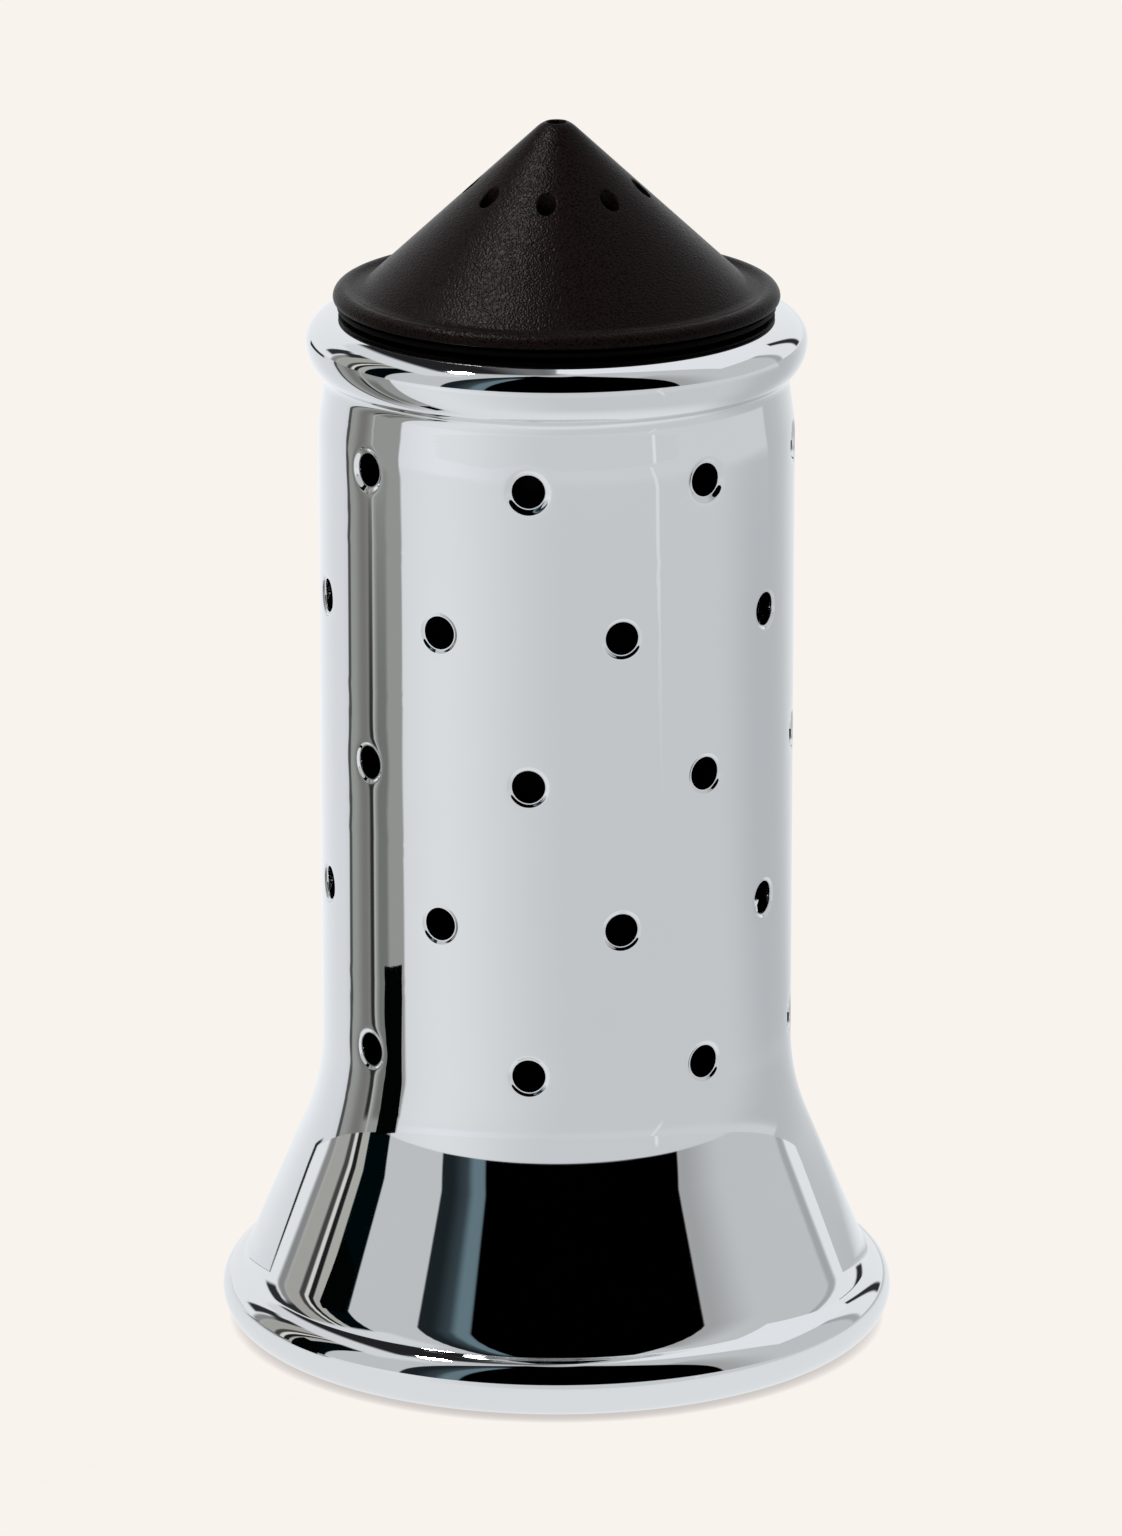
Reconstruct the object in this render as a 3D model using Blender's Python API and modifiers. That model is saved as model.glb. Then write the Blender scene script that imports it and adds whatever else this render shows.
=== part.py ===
"""Salt shaker: perforated steel casing, plastic liner and a screw cap shaped as a cone.

Metres, +Z up. The origin is the centre of the foot, on the surface that the shaker stands on.
"""

import math

import bmesh
import bpy
from mathutils import Matrix, Vector

MM = 0.001

# Steel casing
TUBE_RADIUS = 20.0 * MM
SHEET = 0.8 * MM
CASING_HEIGHT = 88.3 * MM

# Rolled bead at the top of the casing and the neck under it
BEAD_PROJECTION = 1.0 * MM
BEAD_RISE = 2.4 * MM
BEAD_ROUND = 3.2 * MM
RIM_INSET = 2.7 * MM
NECK_DEPTH = 0.5 * MM
NECK_DROP = 3.5 * MM
BEAD_SHARE = 0.72
NECK_TAPER = 8.0
NECK_BLEND = 12.0 * MM

# Flared foot and its rolled bead
FOOT_RADIUS = 28.7 * MM
FOOT_MIDDLE = 2.6 * MM
FOOT_GROOVE_RISE = 2.45 * MM
FOOT_GROOVE_INSET = 1.87 * MM
FOOT_CURL = 2.5 * MM
FOOT_LAND = 1.4 * MM
FLARE_ANGLE = 23.0
FLARE_BLEND = 21.0 * MM

# Staggered rows of round holes in the casing
HOLE_RADIUS = 1.5 * MM
HOLE_ROWS = 5
HOLES_PER_ROW = 8
HOLE_ROW_PITCH = 12.56 * MM
TOP_ROW_DROP = 10.68 * MM
HOLE_PHASE = -6.7

# Plastic liner that holds the salt
CLEARANCE = 0.25 * MM
LINER_CLEARANCE = 0.3 * MM
LINER_WALL = 1.4 * MM
LINER_FLOOR = 1.8 * MM
LINER_BOTTOM = 19.2 * MM
LINER_CORNER = 2.0 * MM
LINER_DRAFT = 0.4 * MM
FLANGE_THICKNESS = 0.5 * MM
FLANGE_SETBACK = 0.35 * MM
FLANGE_EDGE = 0.15 * MM

# Screw cap
LIP_SETBACK = 2.3 * MM
LIP_ROUND = 0.9 * MM
LIP_UNDERCUT = 0.25 * MM
VALLEY_ROUND = 1.0 * MM
CONE_HALF_ANGLE = 47.2
CONE_INSET = 1.57 * MM
CONE_WALL = 1.8 * MM
TIP_ROUND = 2.4 * MM
SKIRT_WALL = 1.6 * MM
SKIRT_LENGTH = 10.0 * MM
POUR_HOLE_RADIUS = 0.8 * MM
POUR_HOLES = 8
POUR_RING_RADIUS = 7.05 * MM

# Round thread between the cap's skirt and the liner's neck
THREAD_SPACE = 1.2 * MM
THREAD_CLEARANCE = 0.3 * MM
THREAD_LEAD = 4.0 * MM
THREAD_TURNS = 0.9
THREAD_TOP_DROP = 3.0 * MM

# Seal ring in the liner's mouth
SEAL_THICKNESS = 1.1 * MM
SEAL_WIDTH = 1.3 * MM

# Boss under the liner, with its brass insert
BOSS_RADIUS = 5.5 * MM
BOSS_LENGTH = 8.2 * MM
INSERT_RADIUS = 3.2 * MM
INSERT_LENGTH = 5.8 * MM
INSERT_GROOVE = 0.4 * MM

# Base plate in the foot, with its screw and washer
PLATE_HEIGHT = 5.6 * MM
PLATE_THICKNESS = 1.8 * MM
HUB_WALL = 1.4 * MM
HUB_OVERLAP = 2.4 * MM
SCREW_RADIUS = 2.0 * MM
SCREW_ENGAGEMENT = 4.5 * MM
HEAD_RADIUS = 3.5 * MM
HEAD_HEIGHT = 2.2 * MM
HEAD_EDGE = 0.4 * MM
SOCKET_RADIUS = 1.45 * MM
SOCKET_DEPTH = 1.3 * MM
WASHER_RADIUS = 4.6 * MM
WASHER_THICKNESS = 0.8 * MM

# Fineness of round shapes
TURN_STEPS = 36
HOLE_SIDES = 12
SMALL_HOLE_SIDES = 12
PIN_WALLS = 6
MERGE = 0.00001

# Sizes that follow from the ones above
BEAD_RADIUS = TUBE_RADIUS + BEAD_PROJECTION
BEAD_HEIGHT = CASING_HEIGHT - BEAD_RISE
NECK_RADIUS = TUBE_RADIUS - NECK_DEPTH
NECK_HEIGHT = BEAD_HEIGHT - NECK_DROP
RIM_RADIUS = TUBE_RADIUS - RIM_INSET
GROOVE_RADIUS = FOOT_RADIUS - FOOT_GROOVE_INSET
GROOVE_HEIGHT = FOOT_MIDDLE + FOOT_GROOVE_RISE
FLARE_SLOPE = math.tan(math.radians(FLARE_ANGLE))
LIP_RADIUS = BEAD_RADIUS - LIP_SETBACK
FLANGE_RADIUS = LIP_RADIUS - FLANGE_SETBACK
FLANGE_BOTTOM = CASING_HEIGHT + CLEARANCE
FLANGE_TOP = FLANGE_BOTTOM + FLANGE_THICKNESS
CAP_SEAT = FLANGE_TOP + CLEARANCE
LINER_RADIUS = RIM_RADIUS - LINER_CLEARANCE
LINER_INSIDE = LINER_RADIUS - LINER_WALL
SKIRT_RADIUS = LINER_INSIDE - THREAD_SPACE
SKIRT_BOTTOM = CAP_SEAT - SKIRT_LENGTH
SEAL_INSIDE = SKIRT_RADIUS + CLEARANCE
SEAL_OUTSIDE = SEAL_INSIDE + SEAL_WIDTH
SEAL_TOP = CAP_SEAT - CLEARANCE
SEAL_BOTTOM = SEAL_TOP - SEAL_THICKNESS
SEAL_LEDGE = SEAL_BOTTOM - CLEARANCE
THREAD_RADIUS = THREAD_SPACE - THREAD_CLEARANCE
THREAD_POINTS = round(TURN_STEPS * THREAD_TURNS)
THREAD_STEP = math.sqrt((2 * THREAD_RADIUS + THREAD_CLEARANCE) ** 2 - THREAD_SPACE**2)
BOSS_BOTTOM = LINER_BOTTOM - BOSS_LENGTH
INSERT_BOTTOM = BOSS_BOTTOM + CLEARANCE
SCREW_TOP = INSERT_BOTTOM + SCREW_ENGAGEMENT
PLATE_TOP = PLATE_HEIGHT + PLATE_THICKNESS
WASHER_TOP = PLATE_HEIGHT - CLEARANCE
WASHER_BOTTOM = WASHER_TOP - WASHER_THICKNESS
HEAD_TOP = WASHER_BOTTOM - CLEARANCE


def clear_scene():
    for item in list(bpy.data.objects):
        bpy.data.objects.remove(item)


def new_collection(name):
    collection = bpy.data.collections.new(name)
    bpy.context.scene.collection.children.link(collection)
    return collection


def finish(name, colour, roughness, metallic):
    """A plain material with the piece's own colour and gloss."""
    material = bpy.data.materials.new(name)
    material.use_nodes = True
    shader = material.node_tree.nodes["Principled BSDF"]
    shader.inputs["Base Color"].default_value = (*colour, 1.0)
    shader.inputs["Roughness"].default_value = roughness
    shader.inputs["Metallic"].default_value = metallic
    return material


def arc(centre, radius, start, end, steps):
    """Points of an arc in the profile's plane, from one angle to another in degrees."""
    points = []
    for step in range(steps + 1):
        angle = math.radians(start + (end - start) * step / steps)
        points.append(centre + radius * Vector((math.cos(angle), math.sin(angle))))
    return points


def oval(centre, width, height, start, end, steps):
    """Points of an oval arc, with half its width and half its height."""
    round_points = arc(Vector((0, 0)), 1.0, start, end, steps)
    return [centre + Vector((width * point.x, height * point.y)) for point in round_points]


def turned(name, profile, collection, closed=False):
    """An object turned about the Z axis from (radius, height) points that run down its outer side."""
    mesh = bpy.data.meshes.new(name)
    shape = bmesh.new()
    points = [shape.verts.new((radius, 0.0, height)) for radius, height in profile]
    for first, second in zip(points, points[1:]):
        shape.edges.new((first, second))
    if closed:
        shape.edges.new((points[-1], points[0]))
    shape.to_mesh(mesh)
    shape.free()
    item = bpy.data.objects.new(name, mesh)
    collection.objects.link(item)
    screw = item.modifiers.new("Turning", "SCREW")
    screw.steps = TURN_STEPS
    screw.render_steps = TURN_STEPS
    screw.use_smooth_shade = True
    screw.use_merge_vertices = True
    screw.merge_threshold = MERGE
    return item


def dress(item, material):
    """Gives a piece its material."""
    item.data.materials.clear()
    item.data.materials.append(material)


def pins(name, places, radius, length, sides, collection):
    """Round pins in one mesh, each at a place with its axis along the place's own Z."""
    mesh = bpy.data.meshes.new(name)
    shape = bmesh.new()
    for place in places:
        bmesh.ops.create_cone(
            shape,
            cap_ends=True,
            segments=sides,
            radius1=radius,
            radius2=radius,
            depth=length,
            matrix=place,
        )
    shape.to_mesh(mesh)
    shape.free()
    item = bpy.data.objects.new(name, mesh)
    collection.objects.link(item)
    return hide(item)


def hide(item):
    """Marks a cutter or a guide, which isn't a piece of the shaker."""
    item.hide_render = True
    item.display_type = "WIRE"
    return item


def combine(item, other, operation):
    modifier = item.modifiers.new(other.name, "BOOLEAN")
    modifier.operation = operation
    modifier.object = other


def ring_of(count, phase):
    """Angles of evenly spaced places round the axis, counted from the front (-Y) towards +X."""
    return [math.radians(phase + 360.0 * number / count) for number in range(count)]


def bead_points():
    """The rolled bead from the rim's inner edge, over its crown, to the neck and the tube."""
    reach = BEAD_RADIUS - NECK_RADIUS
    both_radii = (NECK_DROP**2 + reach**2) / (2 * reach)
    lower_radius = BEAD_SHARE * both_radii
    neck_radius = both_radii - lower_radius
    turn = math.degrees(math.asin(NECK_DROP / both_radii))
    crown = Vector((BEAD_RADIUS - BEAD_ROUND, BEAD_HEIGHT))
    lower = Vector((BEAD_RADIUS - lower_radius, BEAD_HEIGHT))
    neck = Vector((NECK_RADIUS + neck_radius, NECK_HEIGHT))
    points = [Vector((RIM_RADIUS, CASING_HEIGHT))]
    points += oval(crown, BEAD_ROUND, BEAD_RISE, 90, 0, 6)
    points += arc(lower, lower_radius, 0, -turn, 4)[1:]
    points += arc(neck, neck_radius, 180 - turn, 180 + NECK_TAPER, 4)[1:]
    taper = math.radians(NECK_TAPER)
    taper_end = points[-1].y - (TUBE_RADIUS - points[-1].x) / math.tan(taper)
    blend_end = taper_end - NECK_BLEND * math.tan(taper / 2)
    blend = Vector((TUBE_RADIUS - NECK_BLEND, blend_end))
    return points + arc(blend, NECK_BLEND, NECK_TAPER, 0, 2)


def foot_points():
    """The flare from the tube to the foot's groove, and the rolled bead down to the land it stands on."""
    slope = math.radians(FLARE_ANGLE)
    corner = GROOVE_HEIGHT + (GROOVE_RADIUS - TUBE_RADIUS) / FLARE_SLOPE
    blend_start = corner + FLARE_BLEND * math.tan(slope / 2)
    blend = Vector((TUBE_RADIUS + FLARE_BLEND, blend_start))
    points = arc(blend, FLARE_BLEND, 180, 180 + FLARE_ANGLE, 5)
    upper = (FOOT_GROOVE_INSET**2 + FOOT_GROOVE_RISE**2) / (2 * FOOT_GROOVE_INSET)
    start = math.degrees(math.asin(FOOT_GROOVE_RISE / upper))
    points += arc(Vector((FOOT_RADIUS - upper, FOOT_MIDDLE)), upper, start, 0, 4)
    curl = Vector((FOOT_RADIUS - FOOT_CURL, FOOT_MIDDLE))
    points += oval(curl, FOOT_CURL, FOOT_MIDDLE, 0, -90, 5)[1:]
    points.append(Vector((FOOT_RADIUS - FOOT_CURL - FOOT_LAND, 0)))
    return points


def casing_holes(collection):
    """Pins through the wall where the staggered rows of holes are."""
    places = []
    for row in range(HOLE_ROWS):
        stagger = (row % 2) * 180.0 / HOLES_PER_ROW
        height = CASING_HEIGHT - TOP_ROW_DROP - row * HOLE_ROW_PITCH
        for angle in ring_of(HOLES_PER_ROW, HOLE_PHASE + stagger):
            outward = Matrix.Rotation(angle, 4, "Z") @ Matrix.Translation((0, -TUBE_RADIUS, height))
            places.append(outward @ Matrix.Rotation(math.radians(90), 4, "X"))
    length = PIN_WALLS * SHEET
    return pins("casing_hole_pins", places, HOLE_RADIUS, length, HOLE_SIDES, collection)


def make_casing(parts, cutters):
    casing = turned("casing", bead_points() + foot_points(), parts)
    wall = casing.modifiers.new("Sheet", "SOLIDIFY")
    wall.thickness = SHEET
    wall.offset = -1.0
    wall.use_even_offset = True
    combine(casing, casing_holes(cutters), "DIFFERENCE")
    dress(casing, finish("mirror_steel", (0.78, 0.79, 0.80), 0.04, 1.0))
    return casing


def thread_ridge(name, radius, top, collection):
    """A round ridge along a right-hand helix, as a closed mesh."""
    curve = bpy.data.curves.new(name, "CURVE")
    curve.dimensions = "3D"
    curve.bevel_depth = THREAD_RADIUS
    curve.bevel_resolution = 2
    curve.use_fill_caps = True
    curve.twist_mode = "Z_UP"
    spline = curve.splines.new("POLY")
    spline.points.add(THREAD_POINTS - 1)
    for number, point in enumerate(spline.points):
        turns = THREAD_TURNS * number / (THREAD_POINTS - 1)
        angle = 2 * math.pi * turns
        height = top - THREAD_LEAD * (THREAD_TURNS - turns)
        point.co = (radius * math.cos(angle), radius * math.sin(angle), height, 1.0)
    guide = bpy.data.objects.new(name + "_path", curve)
    collection.objects.link(guide)
    graph = bpy.context.evaluated_depsgraph_get()
    mesh = bpy.data.meshes.new_from_object(guide.evaluated_get(graph))
    mesh.name = name
    shape = bmesh.new()
    shape.from_mesh(mesh)
    bmesh.ops.remove_doubles(shape, verts=shape.verts, dist=MERGE)
    bmesh.ops.recalc_face_normals(shape, faces=shape.faces)
    shape.to_mesh(mesh)
    shape.free()
    ridge = bpy.data.objects.new(name, mesh)
    ridge.matrix_world = guide.matrix_world
    collection.objects.link(ridge)
    bpy.data.objects.remove(guide)
    return hide(ridge)


def liner_points():
    """The liner's section: up the inside from the floor's centre, over the flange, down to the boss."""
    floor_top = LINER_BOTTOM + LINER_FLOOR
    low_inside = LINER_INSIDE - LINER_DRAFT
    low_outside = LINER_RADIUS - LINER_DRAFT
    inner_corner = LINER_CORNER - LINER_FLOOR / 2
    bore_radius = INSERT_RADIUS + CLEARANCE
    bore_top = INSERT_BOTTOM + INSERT_LENGTH + CLEARANCE
    points = [Vector((0, floor_top))]
    points += arc(Vector((low_inside - inner_corner, floor_top + inner_corner)), inner_corner, -90, 0, 3)
    points += [
        Vector((LINER_INSIDE, SKIRT_BOTTOM)),
        Vector((LINER_INSIDE, SEAL_LEDGE)),
        Vector((SEAL_OUTSIDE + CLEARANCE, SEAL_LEDGE)),
        Vector((SEAL_OUTSIDE + CLEARANCE, FLANGE_TOP)),
        Vector((FLANGE_RADIUS - FLANGE_EDGE, FLANGE_TOP)),
        Vector((FLANGE_RADIUS, FLANGE_TOP - FLANGE_EDGE)),
        Vector((FLANGE_RADIUS, FLANGE_BOTTOM + FLANGE_EDGE)),
        Vector((FLANGE_RADIUS - FLANGE_EDGE, FLANGE_BOTTOM)),
        Vector((LINER_RADIUS, FLANGE_BOTTOM)),
        Vector((LINER_RADIUS, SKIRT_BOTTOM)),
    ]
    points += arc(Vector((low_outside - LINER_CORNER, LINER_BOTTOM + LINER_CORNER)), LINER_CORNER, 0, -90, 4)
    points += [
        Vector((BOSS_RADIUS, LINER_BOTTOM)),
        Vector((BOSS_RADIUS, BOSS_BOTTOM)),
        Vector((bore_radius, BOSS_BOTTOM)),
        Vector((bore_radius, bore_top)),
        Vector((0, bore_top)),
    ]
    return points


def make_liner(parts, cutters):
    liner = turned("salt_liner", liner_points(), parts)
    ridge_top = CAP_SEAT - THREAD_TOP_DROP
    combine(liner, thread_ridge("neck_thread", LINER_INSIDE, ridge_top, cutters), "UNION")
    dress(liner, finish("liner_black", (0.022, 0.017, 0.018), 0.45, 0.0))
    return liner


def cap_points():
    """The cap's section: down the cone, round the lip, down the skirt and back up the inside."""
    half = math.radians(CONE_HALF_ANGLE)
    down = Vector((math.sin(half), -math.cos(half)))
    out = Vector((math.cos(half), math.sin(half)))
    lip = Vector((LIP_RADIUS - LIP_ROUND, CAP_SEAT + LIP_UNDERCUT))
    apex = Vector((0, lip.y + (LIP_RADIUS - CONE_INSET) / math.tan(half)))
    tip = apex - Vector((0, TIP_ROUND / math.sin(half)))
    lip_offset = (lip - apex).dot(out)
    along = math.sqrt((LIP_ROUND + VALLEY_ROUND) ** 2 - (VALLEY_ROUND - lip_offset) ** 2)
    valley = apex + out * VALLEY_ROUND + down * ((lip - apex).dot(down) - along)
    to_lip = lip - valley
    lip_start = math.degrees(math.atan2(-to_lip.y, -to_lip.x))
    lip_end = -math.degrees(math.asin(LIP_UNDERCUT / LIP_ROUND))
    inner_apex = apex - Vector((0, CONE_WALL / math.sin(half)))
    skirt_inside = SKIRT_RADIUS - SKIRT_WALL
    points = arc(tip, TIP_ROUND, 90, CONE_HALF_ANGLE, 3)
    points += arc(valley, VALLEY_ROUND, 180 + CONE_HALF_ANGLE, 180 + lip_start, 3)
    points += arc(lip, LIP_ROUND, lip_start, lip_end, 8)[1:]
    points += [
        Vector((SKIRT_RADIUS, CAP_SEAT)),
        Vector((SKIRT_RADIUS, SKIRT_BOTTOM)),
        Vector((skirt_inside, SKIRT_BOTTOM)),
        Vector((skirt_inside, inner_apex.y - skirt_inside / math.tan(half))),
        inner_apex,
    ]
    return points


def cone_height(radius):
    """Height of the cone's outer side at a radius."""
    half = math.radians(CONE_HALF_ANGLE)
    return CAP_SEAT + LIP_UNDERCUT + (LIP_RADIUS - CONE_INSET - radius) / math.tan(half)


def pour_holes(collection):
    """Upright pins through the cone: a ring of holes and one in the tip."""
    ring_height = cone_height(POUR_RING_RADIUS)
    places = [Matrix.Translation((0, 0, cone_height(0)))]
    for angle in ring_of(POUR_HOLES, HOLE_PHASE):
        across = Vector((math.sin(angle), -math.cos(angle), 0)) * POUR_RING_RADIUS
        places.append(Matrix.Translation(across + Vector((0, 0, ring_height))))
    length = PIN_WALLS * CONE_WALL
    return pins("pour_hole_pins", places, POUR_HOLE_RADIUS, length, SMALL_HOLE_SIDES, collection)


def make_cap(parts, cutters):
    cap = turned("shaker_cap", cap_points(), parts)
    ridge_top = CAP_SEAT - THREAD_TOP_DROP - THREAD_STEP
    combine(cap, pour_holes(cutters), "DIFFERENCE")
    combine(cap, thread_ridge("skirt_thread", SKIRT_RADIUS, ridge_top, cutters), "UNION")
    dress(cap, finish("cap_black", (0.016, 0.012, 0.011), 0.5, 0.0))
    return cap


def ring_points(inside, outside, bottom, top):
    """A square ring's section, down its outer side first."""
    return [(outside, top), (outside, bottom), (inside, bottom), (inside, top)]


def make_seal(parts):
    section = ring_points(SEAL_INSIDE, SEAL_OUTSIDE, SEAL_BOTTOM, SEAL_TOP)
    seal = turned("cap_seal", section, parts, closed=True)
    dress(seal, finish("seal_rubber", (0.03, 0.03, 0.032), 0.7, 0.0))
    return seal


def make_insert(parts):
    """The brass insert, with a retaining groove round its middle."""
    bore = SCREW_RADIUS + CLEARANCE
    top = INSERT_BOTTOM + INSERT_LENGTH
    third = INSERT_LENGTH / 3
    section = [
        (INSERT_RADIUS, top),
        (INSERT_RADIUS, top - third),
        (INSERT_RADIUS - INSERT_GROOVE, top - third),
        (INSERT_RADIUS - INSERT_GROOVE, INSERT_BOTTOM + third),
        (INSERT_RADIUS, INSERT_BOTTOM + third),
        (INSERT_RADIUS, INSERT_BOTTOM),
        (bore, INSERT_BOTTOM),
        (bore, top),
    ]
    insert = turned("boss_insert", section, parts, closed=True)
    dress(insert, finish("brass", (0.72, 0.53, 0.22), 0.3, 1.0))
    return insert


def flare_inside(height):
    """Inner radius of the flare's wall at a height below its blend."""
    outside = GROOVE_RADIUS - (height - GROOVE_HEIGHT) * FLARE_SLOPE
    return outside - SHEET / math.cos(math.radians(FLARE_ANGLE))


def make_plate(parts):
    """The base plate: a disc with an edge that seats in the flare, and a hub round the liner's boss."""
    hub_inside = BOSS_RADIUS + CLEARANCE
    hub_outside = hub_inside + HUB_WALL
    hub_top = BOSS_BOTTOM + HUB_OVERLAP
    bore = SCREW_RADIUS + CLEARANCE
    edge_top = flare_inside(PLATE_TOP) - CLEARANCE
    edge_bottom = flare_inside(PLATE_HEIGHT) - CLEARANCE
    floor_top = BOSS_BOTTOM - CLEARANCE
    section = [
        (hub_inside, hub_top),
        (hub_outside, hub_top),
        (hub_outside, PLATE_TOP),
        (edge_top, PLATE_TOP),
        (edge_bottom, PLATE_HEIGHT),
        (bore, PLATE_HEIGHT),
        (bore, floor_top),
        (hub_inside, floor_top),
    ]
    plate = turned("base_plate", section, parts, closed=True)
    dress(plate, finish("plate_black", (0.02, 0.018, 0.018), 0.55, 0.0))
    return plate


def make_screw(parts, cutters):
    """The base screw: a pan head with a hexagon socket under the plate, and its shank."""
    head_bottom = HEAD_TOP - HEAD_HEIGHT
    section = [
        (0, SCREW_TOP),
        (SCREW_RADIUS, SCREW_TOP),
        (SCREW_RADIUS, HEAD_TOP),
        (HEAD_RADIUS, HEAD_TOP),
        (HEAD_RADIUS, head_bottom + HEAD_EDGE),
        (HEAD_RADIUS - HEAD_EDGE, head_bottom),
        (0, head_bottom),
    ]
    screw = turned("base_screw", section, parts)
    socket = [Matrix.Translation((0, 0, head_bottom))]
    combine(screw, pins("socket_pin", socket, SOCKET_RADIUS, 2 * SOCKET_DEPTH, 6, cutters), "DIFFERENCE")
    dress(screw, finish("screw_steel", (0.6, 0.6, 0.6), 0.25, 1.0))
    return screw


def make_washer(parts):
    section = ring_points(SCREW_RADIUS + CLEARANCE, WASHER_RADIUS, WASHER_BOTTOM, WASHER_TOP)
    washer = turned("screw_washer", section, parts, closed=True)
    dress(washer, finish("washer_steel", (0.55, 0.55, 0.56), 0.35, 1.0))
    return washer


def hang_on_axis(pieces, parts):
    """Parents the turning pieces to an empty on the cap's axis, at its seat."""
    axis = bpy.data.objects.new("cap_axis", None)
    axis.location = (0, 0, CAP_SEAT)
    parts.objects.link(axis)
    bpy.context.view_layer.update()
    for piece in pieces:
        piece.parent = axis
        piece.matrix_parent_inverse = axis.matrix_world.inverted()


def main():
    clear_scene()
    parts = new_collection("salt_shaker")
    cutters = new_collection("cutters")
    make_casing(parts, cutters)
    make_liner(parts, cutters)
    cap = make_cap(parts, cutters)
    seal = make_seal(parts)
    make_plate(parts)
    make_screw(parts, cutters)
    make_washer(parts)
    make_insert(parts)
    hang_on_axis([cap, seal], parts)


main()
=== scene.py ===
"""Salt shaker: mirror-steel casing, moulded cap and the pieces inside, made as a Blender add-on."""

import math

import bmesh
import bpy
from bpy.props import FloatProperty, FloatVectorProperty, IntProperty, PointerProperty
from mathutils import Matrix, Vector


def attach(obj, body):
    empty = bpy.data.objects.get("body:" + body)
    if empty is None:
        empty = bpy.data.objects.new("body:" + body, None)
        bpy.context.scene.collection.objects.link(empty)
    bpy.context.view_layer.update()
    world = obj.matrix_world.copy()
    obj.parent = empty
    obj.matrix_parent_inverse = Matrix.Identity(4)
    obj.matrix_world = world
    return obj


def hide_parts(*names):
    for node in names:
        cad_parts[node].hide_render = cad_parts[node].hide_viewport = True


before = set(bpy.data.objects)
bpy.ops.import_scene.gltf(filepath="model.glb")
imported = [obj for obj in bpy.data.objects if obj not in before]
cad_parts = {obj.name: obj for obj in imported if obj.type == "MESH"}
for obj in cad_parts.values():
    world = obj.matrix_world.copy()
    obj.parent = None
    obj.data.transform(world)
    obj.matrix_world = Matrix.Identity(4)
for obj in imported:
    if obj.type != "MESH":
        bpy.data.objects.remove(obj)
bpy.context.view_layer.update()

bl_info = {
    "name": "Salt Shaker",
    "version": (1, 0, 0),
    "blender": (4, 5, 0),
    "location": "View3D > Sidebar > Shaker",
    "description": "Builds the looks of a perforated steel salt shaker round its packed parts",
    "category": "Object",
}

MM = 0.001
MERGE = 0.000002
RING_NEAR = 20 * MERGE
# A rounded corner takes up no more of an edge than its length divided by this.
CORNER_LIMIT = 2.2
# Rings between a hole's edge and its tile's border on the outer side, as shares of the way.
SPREAD_SHARES = (0.3, 0.65, 1.0)
# Steps along the edges of a tube tile and of a sector of the cone.
TUBE_ACROSS, TUBE_ALONG = 12, 9
CONE_ACROSS, CONE_ALONG = 20, 6
# Points of the bead's and the flare's sections, from the tube, that lie beside the pierced tube.
BEAD_POINTS, FLARE_POINTS = 45, 60
# The sheet's inner side keeps every third point of its outer side.
INNER_STRIDE = 3
# The sheet's cut edge: share of its thickness that is rounded, and how far the corner is pulled in.
EDGE_SHARE, EDGE_BOW = 0.22, 0.3
# The dish round a hole in the tube: shares of its width, and of its depth there.
DISH = ((0.17, 0.85), (0.48, 0.52), (0.79, 0.19), (1.0, 0.05))
# How the dish fades into the tube: millimetres beyond the hole, and depth.
DISH_FADE = ((0.95, 0.005), (1.75, 0.0))
# A tube hole's edge on the inner side: millimetres beyond the hole, and share of the sheet's thickness.
HOLE_INSIDE = ((0.0, 0.87), (0.03, 0.96), (0.1, 1.0))
# A pouring hole's rim from its wall outwards: millimetres beyond the hole, and depth.
POUR_RIM = ((0.0, 0.25), (0.0, 0.1), (0.02, 0.04), (0.05, 0.012), (0.1, 0.002), (0.25, 0.0))
# A pouring hole's edge on the inner side: millimetres beyond the hole, and short of the inner side.
POUR_INSIDE = ((0.0, 0.05), (0.04, 0.0))
# The rim of the hole in the tip: millimetres beyond the hole, and below the crown.
TIP_RIM = ((0.09, 0.02), (0.03, 0.07), (0.0, 0.15))
# The lip's round ends this many edge radii over the seat.
LIP_CUT = 1.3
# Angles in degrees above which an edge stays sharp.
CASING_SHARP, CAP_SHARP, SEAL_SHARP = 60.0, 50.0, 60.0
# Steps round the small turned pieces.
SMALL_STEPS = 96


def length(description, millimetres):
    """A length that the user may change."""
    metres = millimetres * MM
    return FloatProperty(description=description, default=metres, min=0.0, unit="LENGTH", precision=5)


def angle(description, degrees):
    """An angle that the user may change."""
    radians = math.radians(degrees)
    return FloatProperty(description=description, default=radians, subtype="ANGLE", unit="ROTATION")


def colour(description, value):
    """A colour that the user may change."""
    return FloatVectorProperty(
        description=description, default=value, size=3, min=0.0, max=1.0, subtype="COLOR"
    )


def place(description, metres):
    """A place that the user may change."""
    return FloatVectorProperty(description=description, default=metres, subtype="TRANSLATION")


def count(description, number):
    """A number of copies."""
    return IntProperty(description=description, default=number, min=1)


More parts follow.
